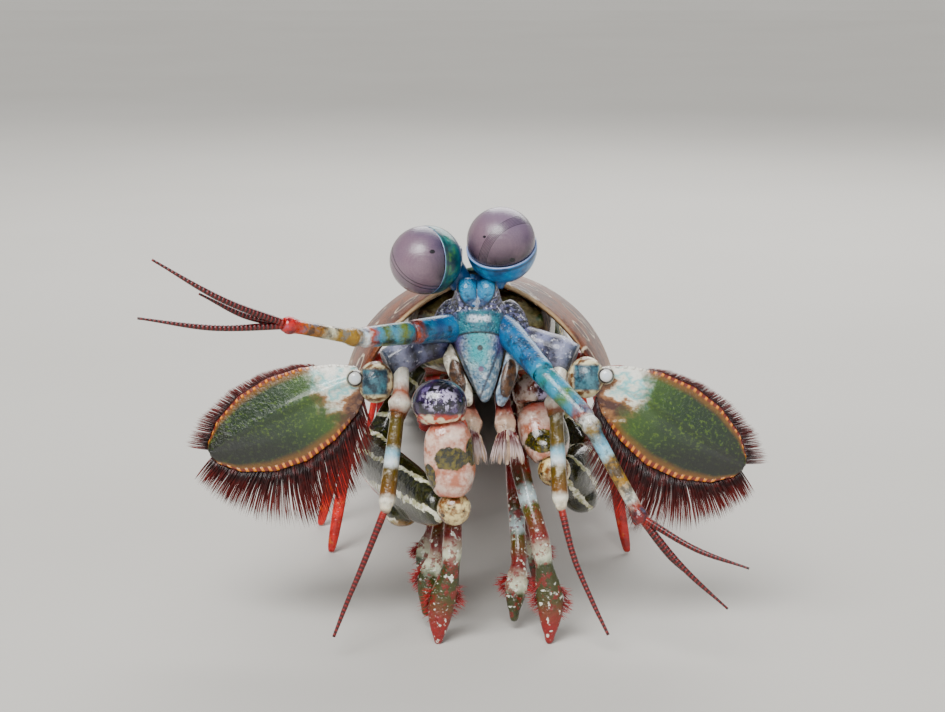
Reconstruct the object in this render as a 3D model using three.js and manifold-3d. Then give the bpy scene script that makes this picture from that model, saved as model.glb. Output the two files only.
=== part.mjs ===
// Peacock mantis shrimp at life size, alert, with its fore body raised on its legs.
// Millimetres, +Z up. The animal faces -Y, so its own left side is at +X.

import * as THREE from 'three';
import { mergeVertices } from 'three/addons/utils/BufferGeometryUtils.js';
import Module from 'manifold-3d';

const wasm = await Module();
wasm.setup();
const { Manifold, Mesh } = wasm;

// Driving dimensions
const gap = 0.3; // clearance that touching pieces keep
const faceTilt = 12; // degrees that the face leans back from upright
const facePivot = 31; // height up the face of the point that it leans about
const pivotHeight = 30.4; // that point's height over the floor
const carapaceLength = 33;
const carapaceWall = 1.0;
const thoraxSomite = 6.5; // length of each bare somite of the thorax
const pleonSomites = [10.5, 10.5, 10.5, 10.5, 10.5, 8];
const telsonLength = 20;
const eyeRadius = 3.6;
const scaleLength = 16.2; // antennal scale, the green paddle beside the mouth
const scaleWidth = 9.6;
const bristle = 0.55; // thickness of a lock of setae

// Pitch of the back in degrees, at distances from the front of the carapace
const pitchStops = [[0, 7], [28, 10], [42, 21], [60, 21], [90, 16.8], [113, 12], [133, 15]];

const thoraxStart = carapaceLength;
const pleonStart = thoraxStart + 3 * thoraxSomite;
const telsonStart = pleonStart + pleonSomites.reduce((sum, length) => sum + length, 0);

const sideWays = new THREE.Vector3(1, 0, 0);
const upWays = new THREE.Vector3(0, 0, 1);
const point = (x, y, z) => new THREE.Vector3(x, y, z);
const list = (p) => [p.x, p.y, p.z];
const lerp = THREE.MathUtils.lerp;
const radians = THREE.MathUtils.degToRad;

// The head has a frame of its own: x to its left, y back into the head, z up the face
const lean = Math.sin(radians(faceTilt));
const upright = Math.cos(radians(faceTilt));
const faceWays = (x, y, z) => point(x, y * upright + z * lean, z * upright - y * lean);
const facePoint = (x, y, z) => faceWays(x, y, z - facePivot).add(point(0, 0, pivotHeight));
const face = ([x, y, z, ...rest]) => [...list(facePoint(x, y, z)), ...rest];
const faceUp = faceWays(0, 0, 1);

// Repeatable variation for the many like pieces
let randomState = 7;
function vary(amount) {
  randomState = (randomState * 1103515245 + 12345) % 2147483648;
  return 1 + amount * (randomState / 1073741824 - 1);
}

// Value at x of a line through [x, value] stops
function along(stops, x) {
  let i = 1;
  while (i < stops.length - 1 && x > stops[i][0]) i++;
  const [x0, v0] = stops[i - 1];
  const [x1, v1] = stops[i];
  return lerp(v0, v1, THREE.MathUtils.clamp((x - x0) / (x1 - x0), 0, 1));
}

const mix = (a, b, share) => a.map((value, i) => lerp(value, b[i], share));
const power = (value, exponent) => Math.sign(value) * Math.pow(Math.abs(value), exponent);

// The back line: its point at distance s, and the way out of the back there
const backStart = facePoint(0, 5, 39.7);
function backAt(s) {
  const step = 0.25;
  const at = backStart.clone();
  for (let d = 0; d < s; d += step) {
    const part = Math.min(step, s - d);
    const pitch = radians(along(pitchStops, d + part / 2));
    at.y += Math.cos(pitch) * part;
    at.z -= Math.sin(pitch) * part;
  }
  const pitch = radians(along(pitchStops, s));
  if (s < 0) at.add(point(0, Math.cos(pitch), -Math.sin(pitch)).multiplyScalar(s));
  return { at, outWays: point(0, Math.sin(pitch), Math.cos(pitch)) };
}

// A point of the trunk: x to the animal's left, deep below the back line
function bodyPoint(s, x, deep) {
  const { at, outWays } = backAt(s);
  return at.addScaledVector(outWays, -deep).addScaledVector(sideWays, x);
}

// Closed solid of a three.js geometry, turned so that its faces point out
function solidOf(geometry) {
  for (const name of Object.keys(geometry.attributes)) {
    if (name !== 'position') geometry.deleteAttribute(name);
  }
  const merged = mergeVertices(geometry, 1e-4);
  const triVerts = new Uint32Array(merged.index.array);
  const corner = (i) => new THREE.Vector3().fromBufferAttribute(merged.attributes.position, triVerts[i]);
  let volume = 0;
  for (let i = 0; i < triVerts.length; i += 3) {
    volume += corner(i).dot(corner(i + 1).cross(corner(i + 2)));
  }
  if (volume < 0) triVerts.reverse();
  return new Manifold(new Mesh({ numProp: 3, vertProperties: merged.attributes.position.array, triVerts }));
}

function solidFromFaces(vertices, faces) {
  const geometry = new THREE.BufferGeometry().setFromPoints(vertices);
  geometry.setIndex(faces);
  return solidOf(geometry);
}

// Solid from rings of points that follow each other, closed by a fan at each end
function solidFromRings(rings) {
  const sides = rings[0].length;
  const centre = (ring) => ring.reduce((sum, p) => sum.add(p), point(0, 0, 0)).divideScalar(sides);
  const vertices = rings.flat().concat([centre(rings[0]), centre(rings[rings.length - 1])]);
  const first = rings.length * sides;
  const last = first - sides;
  const faces = [];
  for (let i = 0; i < sides; i++) {
    const j = (i + 1) % sides;
    for (let r = 0; r < last; r += sides) {
      faces.push(r + i, r + j, r + j + sides, r + i, r + j + sides, r + i + sides);
    }
    faces.push(first, j, i, first + 1, last + i, last + j);
  }
  return solidFromFaces(vertices, faces);
}

// Limb piece through stops [x, y, z, half width, half depth], with blunt ends.
// Its width lies along acrossWays.
function limb(stops, options = {}) {
  const { acrossWays = sideWays, sides = 6, steps = 1, grow = 0, blunt = 0.5 } = options;
  const curve = new THREE.CatmullRomCurve3(stops.map(([x, y, z]) => point(x, y, z)), false, 'centripetal');
  const last = stops.length - 1;
  const ringAt = (t, shift, factor) => {
    const i = Math.min(Math.floor(t * last), last - 1);
    const halfWidth = lerp(stops[i][3], stops[i + 1][3], t * last - i) * factor + grow;
    const halfDepth = lerp(stops[i][4], stops[i + 1][4], t * last - i) * factor + grow;
    const ahead = curve.getTangent(t);
    const at = curve.getPoint(t).addScaledVector(ahead, shift);
    const depthWays = ahead.clone().cross(acrossWays).normalize();
    const widthWays = depthWays.clone().cross(ahead).normalize();
    return Array.from({ length: sides }, (_, k) => {
      const angle = ((k + 0.5) / sides) * 2 * Math.PI;
      return at.clone()
        .addScaledVector(widthWays, halfWidth * Math.cos(angle))
        .addScaledVector(depthWays, halfDepth * Math.sin(angle));
    });
  };
  const reach = (stop) => Math.min(stop[3], stop[4]) * blunt + grow;
  const rings = [ringAt(0, -reach(stops[0]), 0.55)];
  for (let i = 0; i <= last * steps; i++) {
    rings.push(ringAt(i / (last * steps), 0, 1));
  }
  rings.push(ringAt(1, reach(stops[last]), 0.55));
  return solidFromRings(rings);
}

// Egg-shaped lump, its third radius along aim
function lump(centre, radii, options = {}) {
  const { aim = upWays, grow = 0, around = 10, rows = 6 } = options;
  const turn = new THREE.Quaternion().setFromUnitVectors(upWays, aim.clone().normalize());
  const ball = new THREE.SphereGeometry(1, around, rows);
  ball.rotateX(Math.PI / 2);
  ball.scale(radii[0] + grow, radii[1] + grow, radii[2] + grow);
  ball.applyQuaternion(turn);
  ball.translate(...list(centre));
  return solidOf(ball);
}

// Cone-shaped spine from its root to its tip
function spine(root, tip, radius) {
  const cone = new THREE.ConeGeometry(radius, root.distanceTo(tip), 5);
  const aim = tip.clone().sub(root).normalize();
  cone.applyQuaternion(new THREE.Quaternion().setFromUnitVectors(point(0, 1, 0), aim));
  cone.translate(...list(root.clone().lerp(tip, 0.5)));
  return solidOf(cone);
}

// Flat tapered lock of setae: its broad side lies along wideWays
function hairLock(root, aim, length, width, wideWays) {
  const thickWays = aim.clone().cross(wideWays).normalize();
  const across = thickWays.clone().cross(aim).normalize();
  const rings = [[0, 1, 1], [0.7, 0.9, 0.9], [1, 0.4, 0.4]].map(([share, broad, thick]) => {
    const at = root.clone().addScaledVector(aim, share * length);
    return [[1, 0], [0, 1], [-1, 0], [0, -1]].map(([u, v]) => at.clone()
      .addScaledVector(across, (u * broad * width) / 2)
      .addScaledVector(thickWays, (v * thick * bristle) / 2));
  });
  return solidFromRings(rings);
}

const join = (solids) => Manifold.union(solids);
const cut = (solid, others) => others.reduce((rest, other) => rest.subtract(other), solid);

// Flat paddle: stops [share of the length, reach to its near edge, reach to its far edge, half depth],
// with the near and far edges on the two sides of the line from root to tip
function paddle({ root, tip, wideWays, stops, sides = 10 }) {
  const aim = tip.clone().sub(root);
  const ribs = stops.map(([share, near, far, halfDepth]) => {
    const at = root.clone().addScaledVector(aim, share).addScaledVector(wideWays, (near - far) / 2);
    return [...list(at), (near + far) / 2, halfDepth];
  });
  return limb(ribs, { acrossWays: wideWays, sides, blunt: 0.3 });
}

const finish = (color, roughness) => new THREE.MeshStandardMaterial({ color, roughness, metalness: 0 });
const olive = finish(0x4a5326, 0.35);
const blue = finish(0x1c7fa8, 0.35);
const lilac = finish(0x8d7a98, 0.15);
const pale = finish(0x9fb9b8, 0.4);
const brown = finish(0x8a5f3c, 0.35);
const green = finish(0x3c5a1c, 0.3);
const banded = finish(0xb4b8b0, 0.4);
const bone = finish(0xd9c9bf, 0.3);
const violet = finish(0x4b3a52, 0.2);
const crimson = finish(0x8f2418, 0.4);
const orange = finish(0xa23c1c, 0.4);

const animal = new THREE.Group();

// Adds a node: the part of the solid above the floor, in one body, placed from its own root point
function addNode(name, solid, material, pivot) {
  const bodies = solid.trimByPlane([0, 0, 1], 0).decompose();
  const kept = bodies.sort((a, b) => b.volume() - a.volume())[0];
  const { vertProperties, triVerts } = kept.getMesh();
  const geometry = new THREE.BufferGeometry();
  geometry.setAttribute('position', new THREE.BufferAttribute(new Float32Array(vertProperties), 3));
  geometry.setIndex(new THREE.BufferAttribute(new Uint32Array(triVerts), 1));
  geometry.translate(-pivot.x, -pivot.y, -pivot.z);
  geometry.computeVertexNormals();
  const node = new THREE.Mesh(geometry, material);
  node.name = name;
  node.position.copy(pivot);
  animal.add(node);
}

// Carapace: an arched shield, narrower in front, its hind edge cut back in the middle
const shieldHalfWidth = [[0, 13.3], [8, 14.7], [17, 15.6], [33, 15.8]];
const shieldDepth = [[0, 12.6], [16, 13.6], [33, 13.0]];
const shieldPeak = [[0, 1.24], [16, 1.12], [33, 1.05]]; // 1 is an ellipse, more is a steeper roof
function shieldPoint(across, share, inward) {
  const front = 1.2 * Math.pow(Math.abs(across), 3);
  const hind = 30.6 + 2.4 * Math.pow(Math.abs(across), 1.5);
  const s = lerp(front, hind, share);
  const angle = (across * Math.PI) / 2;
  const peak = along(shieldPeak, s);
  const x = (along(shieldHalfWidth, s) - inward) * power(Math.sin(angle), peak);
  const drop = (along(shieldDepth, s) - inward * 0.5) * (1 - power(Math.cos(angle), peak));
  return bodyPoint(s, x, inward + drop);
}

function shield(grow = 0) {
  const acrossSteps = 16;
  const lengthSteps = 6;
  const overrun = grow * 0.04;
  const outer = [];
  const inner = [];
  for (let j = 0; j <= lengthSteps; j++) {
    for (let i = 0; i <= acrossSteps; i++) {
      const across = lerp(-1 - overrun, 1 + overrun, i / acrossSteps);
      const share = lerp(-overrun, 1 + overrun, j / lengthSteps);
      outer.push(shieldPoint(across, share, -grow));
      inner.push(shieldPoint(across, share, carapaceWall + grow));
    }
  }
  const row = acrossSteps + 1;
  const under = outer.length;
  const faces = [];
  const wall = (a, b) => faces.push(b, a, under + a, b, under + a, under + b);
  for (let j = 0; j < lengthSteps; j++) {
    for (let i = 0; i < acrossSteps; i++) {
      const a = j * row + i;
      faces.push(a, a + 1, a + row + 1, a, a + row + 1, a + row);
      faces.push(under + a, under + a + row + 1, under + a + 1);
      faces.push(under + a, under + a + row, under + a + row + 1);
    }
    wall((j + 1) * row, j * row);
    wall(j * row + acrossSteps, (j + 1) * row + acrossSteps);
  }
  for (let i = 0; i < acrossSteps; i++) {
    wall(i, i + 1);
    wall(lengthSteps * row + i + 1, lengthSteps * row + i);
  }
  return solidFromFaces(outer.concat(inner), faces);
}
const shieldGrown = shield(gap);
addNode('carapace', shield(), brown, backStart);

// Fore part of the trunk, under the shield
const coreHalfWidth = [[2, 7.2], [14, 8.8], [33, 9.4]];
const coreDepth = [[2, 11.0], [14, 12.2], [33, 10.6]];
function core(grow = 0) {
  const stations = [2 - grow, 9, 17, 25, thoraxStart - gap / 2 + grow];
  return solidFromRings(stations.map((s) => {
    const top = carapaceWall + gap + 0.1 - grow;
    const bottom = along(coreDepth, s) + grow;
    return Array.from({ length: 14 }, (_, k) => {
      const angle = (k / 14) * 2 * Math.PI;
      const squareness = Math.sin(angle) > 0 ? 0.95 : 0.7;
      const x = (along(coreHalfWidth, s) + grow) * power(Math.cos(angle), squareness);
      return bodyPoint(s, x, lerp(top, bottom, 0.5 - 0.5 * power(Math.sin(angle), squareness)));
    });
  }));
}
const coreGrown = core(gap);
addNode('front_thorax', core().subtract(shieldGrown), olive, bodyPoint(2, 0, 8));

// Small plate over the eye stalks
function rostrum(grow = 0) {
  const stops = [[0, 4.5, 39.6, 3.5, 0.4], [0, 3.0, 40.0, 3.0, 0.4], [0, 1.2, 40.2, 1.2, 0.35]];
  return limb(stops.map(face), { blunt: 0.8, grow });
}
addNode('rostral_plate', rostrum().subtract(shieldGrown), blue, facePoint(0, 4.5, 39.6));
const rostrumGrown = rostrum(gap * 1.2);

// Head: two eye-bearing lobes above the pale face, which narrows to the lip over the mouth.
// Levels are [x, y, height up the face, half width, half depth].
const headLevels = [
  [-0.3, 2.2, 39.2, 1.9, 1.3],
  [-0.3, 1.9, 38.0, 2.4, 2.3],
  [-0.3, 1.9, 36.7, 2.7, 3.0],
  [-0.3, 2.2, 35.2, 3.4, 3.6],
  [0.0, 1.9, 33.4, 3.2, 3.5],
  [0.1, 1.2, 31.6, 2.6, 2.9],
  [0.3, 0.5, 29.4, 1.9, 2.2],
  [0.5, -0.1, 27.3, 1.0, 1.4],
  [0.5, -0.3, 26.4, 0.5, 0.8],
];
function head(grow = 0) {
  const lobes = [-1.4, 0.8].map((x) => lump(facePoint(x, -0.1, 37.7), [1.25, 1.2, 1.6],
      { grow, aim: faceUp }));
  const flanks = [-1, 1].map((side) => limb(
    [[side * 3.0, 2.6, 36.2, 1.3, 1.3], [side * 4.0, 2.6, 34.4, 1.7, 1.7],
        [side * 4.2, 2.8, 32.4, 1.3, 1.3]].map(face),
    { grow },
  ));
  const cheeks = [-1, 1].map((side) => limb(
    [[side * 5.0, 5.2, 36.6, 1.3, 1.4], [side * 7.2, 5.2, 34.9, 1.6, 1.6],
        [side * 9.0, 5.6, 32.6, 1.3, 1.4]].map(face),
    { grow },
  ));
  return join([limb(headLevels.map(face), { sides: 12, grow }), ...lobes, ...flanks, ...cheeks]);
}
const headGrown = head(gap);
addNode('head', cut(head(), [coreGrown, shieldGrown, rostrumGrown]), pale, facePoint(0, 3, 34));

// Eyes: globes in the cups of short stalks. look is the way that the cornea faces.
const eyes = {
  right: { centre: [-5.9, -1.0, 41.0], look: [-0.78, -0.6, -0.08], root: [-1.8, 1.4, 38.8] },
  left: { centre: [2.2, -1.0, 43.0], look: [-0.1, -0.66, 0.74], root: [1.3, 1.4, 38.8] },
};
for (const [side, { centre, look, root }] of Object.entries(eyes)) {
  const aim = faceWays(...look).normalize();
  const middle = facePoint(...centre);
  const seat = middle.clone().addScaledVector(aim, -0.22 * eyeRadius).dot(aim);
  const behind = middle.clone().addScaledVector(aim, -0.45 * eyeRadius);
  const globe = (grow) => lump(middle, [eyeRadius, eyeRadius, eyeRadius],
      { aim, grow, around: 16, rows: 10 });
  addNode(`eye_${side}`, globe(0).trimByPlane(list(aim), seat), lilac, middle);
  const neckStops = [
    [...list(facePoint(...root)), 1.3, 1.3],
    [...list(facePoint(...root).lerp(behind, 0.5)), 1.45, 1.45],
    [...list(behind), 2.0, 2.0],
  ];
  const neck = limb(neckStops, { acrossWays: side === 'left' ? sideWays : faceUp });
  const cup = join([globe(0.12), neck]).trimByPlane(list(aim.clone().negate()), gap - seat);
  addNode(`eye_stalk_${side}`, cut(cup, [headGrown, shieldGrown, rostrumGrown]), blue, facePoint(...root));
}

// Antennules: three stem segments and three whips. Stops are in the head's frame.
const antennules = {
  right: {
    joints: [[-2.6, 1.2, 33.9], [-7.3, -3.0, 33.4], [-12.4, -7.2, 32.8], [-19.2, -14.6, 34.0]],
    whips: [[-31.6, -22.5, 40.2], [-33.2, -21.0, 34.6], [-27.4, -19.5, 37.0]],
  },
  left: {
    joints: [[2.6, 1.2, 33.8], [6.7, -4.0, 29.1], [11.0, -6.4, 24.4], [16.4, -8.0, 14.4]],
    whips: [[27.0, -12.0, 9.6], [25.0, -10.5, 5.4], [22.0, -9.0, 8.0]],
  },
};
const antennuleGrown = {};
function antennule({ joints, whips }, grow = 0) {
  const [root, first, second, end] = joints;
  const acrossWays = faceUp;
  const stem = [
    limb([[...root, 1.5, 1.5], [...first, 1.25, 1.2]].map(face), { acrossWays, grow }),
    limb([[...first, 1.1, 1.1], [...second, 1.05, 1.0]].map(face), { acrossWays, grow }),
    limb([
      [...second, 0.95, 0.95], [...mix(second, end, 0.12), 0.68, 0.68],
      [...mix(second, end, 0.86), 0.68, 0.68], [...end, 0.95, 0.9],
    ].map(face), { acrossWays, grow }),
  ];
  const lashes = whips.map((tip, i) => {
    const middle = mix(end, tip, 0.5);
    middle[1] += (i - 1) * 0.8;
    middle[2] -= 0.6;
    const stops = [[...end, 0.42, 0.42], [...middle, 0.34, 0.34], [...tip, 0.16, 0.16]];
    return limb(stops.map(face), { sides: 5, steps: 2, acrossWays, grow, blunt: 0.3 });
  });
  return join([...stem, ...lashes]);
}
for (const [side, form] of Object.entries(antennules)) {
  antennuleGrown[side] = antennule(form, gap);
  addNode(`antennule_${side}`, antennule(form).subtract(headGrown), blue, facePoint(...form.joints[0]));
}

// Antennae: a jointed base that carries the scale, a banded stem and one long whip
const antennae = {
  right: {
    arm: [[-3.6, 2.9, 32.6], [-6.6, 1.8, 31.6], [-9.6, 0.8, 30.2]],
    block: [-11.0, 0.0, 28.2],
    stem: [[-8.3, 0.6, 29.9], [-8.3, -0.9, 26.8], [-8.6, -1.2, 24.9], [-9.9, -2.2, 14.6]],
    whip: [[-9.9, -2.2, 15.0], [-11.8, -2.9, 10.2], [-13.8, -3.4, 5.4], [-15.2, -3.7, 1.8]],
  },
  left: {
    arm: [[3.6, 2.9, 32.6], [6.8, 2.0, 32.0], [9.8, 1.2, 30.8]],
    block: [11.2, 0.4, 28.7],
    stem: [[8.7, 1.4, 30.3], [8.0, 0.5, 26.9], [8.0, 0.2, 25.0], [8.5, -0.6, 14.8]],
    whip: [[8.5, -0.6, 15.2], [9.8, -1.2, 10.0], [11.6, -1.6, 5.6], [13.4, -1.9, 1.8]],
  },
};
const antennaGrown = {};
function antenna({ arm, block, stem, whip }, grow = 0) {
  const [top, joint, lower, end] = stem;
  return join([
    limb([[...arm[0], 1.6, 1.5], [...arm[1], 1.8, 1.7], [...arm[2], 1.6, 1.7]].map(face),
        { acrossWays: faceUp, grow }),
    lump(facePoint(...block), [1.9, 2.0, 2.2], { grow, aim: faceUp }),
    limb([[...top, 0.8, 0.8], [...joint, 0.9, 0.85], [...mix(joint, lower, 0.5), 1.3, 1.1],
      [...lower, 0.95, 0.85], [...mix(lower, end, 0.45), 0.72, 0.7], [...mix(lower, end, 0.85), 0.85, 0.8],
      [...end, 0.45, 0.45]].map(face), { grow }),
    limb(whip.map((at, i) => face([...at, 0.4 - 0.07 * i, 0.4 - 0.07 * i])),
        { sides: 5, steps: 2, grow, blunt: 0.3 }),
  ]);
}
for (const [side, form] of Object.entries(antennae)) {
  antennaGrown[side] = antenna(form, gap);
  const clear = cut(antenna(form), [headGrown, coreGrown, shieldGrown, antennuleGrown[side]]);
  addNode(`antenna_${side}`, clear, banded, facePoint(...form.arm[0]));
}

// Mouth: a petal-shaped mandible each side of the lip
for (const [side, sign] of [['right', -1], ['left', 1]]) {
  const stops = [
    [sign * 3.3, 2.2, 32.0, 0.9, 1.0],
    [sign * 2.9 + 0.2, 0.9, 30.2, 1.3, 1.0],
    [sign * 2.3 + 0.4, 0.3, 28.0, 1.1, 0.9],
    [sign * 1.7 + 0.5, 0.1, 26.0, 0.6, 0.6],
  ];
  const clear = cut(limb(stops.map(face)), [headGrown, antennaGrown[side], coreGrown, antennuleGrown[side]]);
  addNode(`mandible_${side}`, clear, banded, facePoint(...stops[0].slice(0, 3)));
}

// Where a limb leaves the belly of the fore trunk, and how far it starts inside it
const hipOf = (s, x) => list(bodyPoint(s, x, along(coreDepth, s) - 0.8));

// First maxillipeds: short arms with a brush of setae under the mouth
for (const [side, sign] of [['right', -1], ['left', 1]]) {
  const tip = [sign * 1.95 + 0.9, -0.7, 22.2];
  const arm = limb([
    [...hipOf(3.5, sign * 2.2), 1.0, 1.0],
    face([sign * 1.9 + 0.6, 1.6, 25.2, 0.9, 0.9]),
    face([sign * 1.75 + 0.9, -0.2, 23.8, 1.25, 0.9]),
    face([...tip, 0.8, 0.7]),
  ]);
  const brush = [-2, -1, 0, 1, 2].map((i) => hairLock(
    facePoint(tip[0] + i * 0.4, tip[1], tip[2] + 0.4),
    faceWays(i * 0.14, -0.1, -1).normalize(),
    2.8 * vary(0.12),
    0.8,
    sideWays,
  ));
  addNode(`maxilliped_1_${side}`, cut(join([arm, ...brush]), [coreGrown, headGrown]), crimson,
      point(...hipOf(3.5, sign * 2.2)));
}

// Raptorial limbs: the merus slopes down to the elbow, the palm stands on the wrist,
// and the dactyl is folded behind the palm with its swollen heel on top
const raptorials = {
  right: {
    knee: [-12.2, 14.0, 19.6], elbow: [-4.6, -1.2, 14.9], wrist: [-2.7, -4.6, 15.2],
    palmTop: [-3.4, -6.0, 23.4], heel: [-4.2, -6.2, 26.1], heelRadii: [3.0, 2.7, 2.5],
  },
  left: {
    knee: [12.8, 15.0, 18.8], elbow: [9.4, 5.6, 18.2], wrist: [7.9, 2.8, 18.8],
    palmTop: [6.2, 5.2, 25.0], heel: [5.9, 6.0, 27.0], heelRadii: [2.5, 2.3, 2.2],
  },
};
function raptorial(sign, { knee, elbow, wrist, palmTop, heel, heelRadii }, grow) {
  const hip = hipOf(11, sign * 7.2);
  const kneeAt = list(facePoint(...knee));
  const palmWays = point(1, 0.3, 0).normalize();
  const bulb = mix(wrist, palmTop, 0.34);
  const bladeAt = (from, to, share, inward, back) => {
    const [x, y, z] = mix(from, to, share);
    return [x - sign * inward, y + back, z];
  };
  const thigh = [[...mix(wrist, palmTop, 0.22), 1.9, 1.6], [...mix(wrist, palmTop, 0.45), 2.9, 2.0],
    [...mix(wrist, palmTop, 0.75), 2.8, 2.0], [...palmTop, 2.5, 1.7]];
  const merus = [[...knee, 1.9, 2.6], [...mix(knee, elbow, 0.4), 2.2, 3.2],
      [...mix(knee, elbow, 0.8), 2.0, 3.0],
    [...elbow, 1.5, 2.1]];
  const blade = [[...bladeAt(heel, palmTop, 0, 0.4, 0.6), 1.0, 1.0],
      [...bladeAt(heel, palmTop, 0.9, 1.5, 2.3), 0.9, 0.9],
    [...bladeAt(palmTop, wrist, 0.35, 1.5, 2.3), 0.6, 0.8], [...bladeAt(palmTop, wrist, 0.68, 1.5, 2.3), 0.2,
        0.25]];
  return {
    hip: point(...hip),
    merus: join([
      limb(merus.map(face), { acrossWays: point(1, -0.3, 0).normalize(), sides: 10, grow }),
      limb([[...hip, 1.5, 1.7], [...mix(hip, kneeAt, 0.5), 1.7, 1.9], [...kneeAt, 1.8, 2.0]], { grow }),
      lump(facePoint(...mix(knee, elbow, 0.5)).add(faceWays(0, 0.5, -3.0)), [2.1, 3.2, 1.6], { grow }),
    ]),
    carpus: lump(facePoint(...wrist), [1.9, 1.8, 1.8], { grow }),
    propodus: join([
      limb(thigh.map(face), { acrossWays: palmWays, sides: 10, grow }),
      lump(facePoint(bulb[0] - sign * 0.3, bulb[1] - 1.1, bulb[2]), [1.7, 1.3, 1.7], { grow }),
    ]),
    dactyl: join([
      lump(facePoint(...heel), heelRadii, { grow, aim: faceUp, around: 12, rows: 8 }),
      limb(blade.map(face), { sides: 7, grow }),
    ]),
  };
}
const raptorialGrown = {};
for (const [side, form] of Object.entries(raptorials)) {
  const sign = side === 'left' ? 1 : -1;
  const plain = raptorial(sign, form, 0);
  const grown = raptorial(sign, form, gap);
  const feelers = [antennaGrown[side], antennuleGrown[side]];
  raptorialGrown[side] = join([grown.merus, grown.carpus, grown.propodus, grown.dactyl]);
  const merus = cut(plain.merus, [coreGrown, shieldGrown]);
  const carpus = cut(plain.carpus, [grown.merus]);
  const propodus = cut(plain.propodus, [grown.carpus, grown.merus, ...feelers]);
  const dactyl = cut(plain.dactyl, [grown.propodus, grown.merus, headGrown, coreGrown, ...feelers]);
  addNode(`raptorial_merus_${side}`, merus, olive, plain.hip);
  addNode(`raptorial_carpus_${side}`, carpus, olive, facePoint(...form.wrist));
  addNode(`raptorial_propodus_${side}`, propodus, bone, facePoint(...form.palmTop));
  addNode(`raptorial_dactyl_${side}`, dactyl, violet, facePoint(...form.heel));
}

// Antennal scales: green paddles that face forward, edged with locks of setae that are short
// above and long below. Fringe lengths are at shares of the blade's length.
const scales = {
  right: { root: [-12.4, -0.5, 28.7], aim: [-14.2, 2.2, -7.0] },
  left: { root: [12.7, -0.1, 28.8], aim: [14.0, 2.4, -8.8] },
};
const scaleStops = [
  [0, 1.3, 1.4, 0.7],
  [0.12, 0.27 * scaleWidth, 0.33 * scaleWidth, 0.65],
  [0.3, 0.4 * scaleWidth, 0.48 * scaleWidth, 0.6],
  [0.5, 0.46 * scaleWidth, 0.55 * scaleWidth, 0.55],
  [0.7, 0.42 * scaleWidth, 0.5 * scaleWidth, 0.5],
  [0.88, 0.28 * scaleWidth, 0.34 * scaleWidth, 0.4],
  [0.98, 0.1 * scaleWidth, 0.14 * scaleWidth, 0.3],
];
const fringeBelow = [[0.1, 3.6], [0.25, 6.4], [0.55, 6.8], [0.8, 4.6], [1, 2.8]];
const fringeAbove = [[0.2, 0.9], [0.7, 1.2], [1, 2.4]];

// Locks along one edge of a paddle. side is 1 for the near edge and -1 for the far edge,
// and sweep is how far they lean towards the tip.
function fringe({ root, tip, wideWays, stops }, side, { shares, lengths, sweep, width }) {
  const aim = tip.clone().sub(root);
  return shares.map((share) => {
    const reach = along(stops.map((stop) => [stop[0], stop[side > 0 ? 1 : 2]]), share);
    const edge = root.clone().addScaledVector(aim, share).addScaledVector(wideWays, side * (reach - 0.7));
    const lie = wideWays.clone().multiplyScalar(side)
      .addScaledVector(aim, along(sweep, share) / aim.length()).normalize();
    const across = aim.clone().normalize();
    return hairLock(edge, lie, along(lengths, share) * vary(0.08) + 0.7, width, across);
  });
}
const evenly = (from, to, count) => Array.from({ length: count }, (_, i) => lerp(from, to,
    i / Math.max(1, count - 1)));

for (const [side, { root, aim }] of Object.entries(scales)) {
  const start = facePoint(...root);
  const tip = start.clone().add(faceWays(...aim).setLength(scaleLength + 2));
  const wideWays = tip.clone().sub(start).cross(faceWays(0, -1, 0)).normalize();
  if (wideWays.z < 0) wideWays.negate();
  const form = { root: start, tip, wideWays, stops: scaleStops };
  const below = { shares: evenly(0.16, 0.95, 9), lengths: fringeBelow,
      sweep: [[0, 0.1], [0.6, 0.3], [1, 2.2]], width: 1.75 };
  const above = { shares: evenly(0.3, 0.95, 6), lengths: fringeAbove,
      sweep: [[0, 0.6], [0.7, 0.6], [1, 1.6]], width: 1.75 };
  const solid = join([paddle(form), ...fringe(form, -1, below), ...fringe(form, 1, above)]);
  const others = [antennaGrown[side], antennuleGrown[side], raptorialGrown[side], shieldGrown];
  addNode(`antennal_scale_${side}`, cut(solid, others), green, start);
}

// Third to fifth maxillipeds: bent arms under the mouth, each ending in a flat oval hand.
// The third pair reaches the floor.
const maxillipeds = {
  right: [
    { s: 7, x: -3.0, knee: [-2.7, 4.0, 17.6], wrist: [-2.9, 2.0, 12.4], palm: [-3.0, 1.6, 8.6],
        hand: [-4.2, 2.2, 4.2] },
    { s: 13, x: -3.4, knee: [-3.6, 8.4, 16.0], wrist: [-4.4, 6.6, 12.0], palm: [-4.6, 6.2, 9.6],
        hand: [-5.6, 6.4, 6.6] },
    { s: 19, x: -3.8, knee: [-4.0, 13.4, 17.0], wrist: [-4.9, 11.6, 13.6], palm: [-5.2, 11.2, 11.6],
        hand: [-6.0, 11.4, 9.2] },
  ],
  left: [
    { s: 7, x: 3.0, knee: [4.4, 3.4, 17.4], wrist: [6.2, 1.6, 12.6], palm: [6.8, 1.8, 8.8],
        hand: [7.6, 2.2, 4.4] },
    { s: 13, x: 3.4, knee: [3.9, 8.0, 14.0], wrist: [4.2, 6.2, 10.6], palm: [4.2, 5.8, 8.6],
        hand: [3.9, 6.0, 6.0] },
    { s: 19, x: 3.8, knee: [4.4, 13.4, 17.0], wrist: [5.4, 11.6, 13.6], palm: [5.6, 11.2, 11.6],
        hand: [6.4, 11.4, 9.2] },
  ],
};
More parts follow.
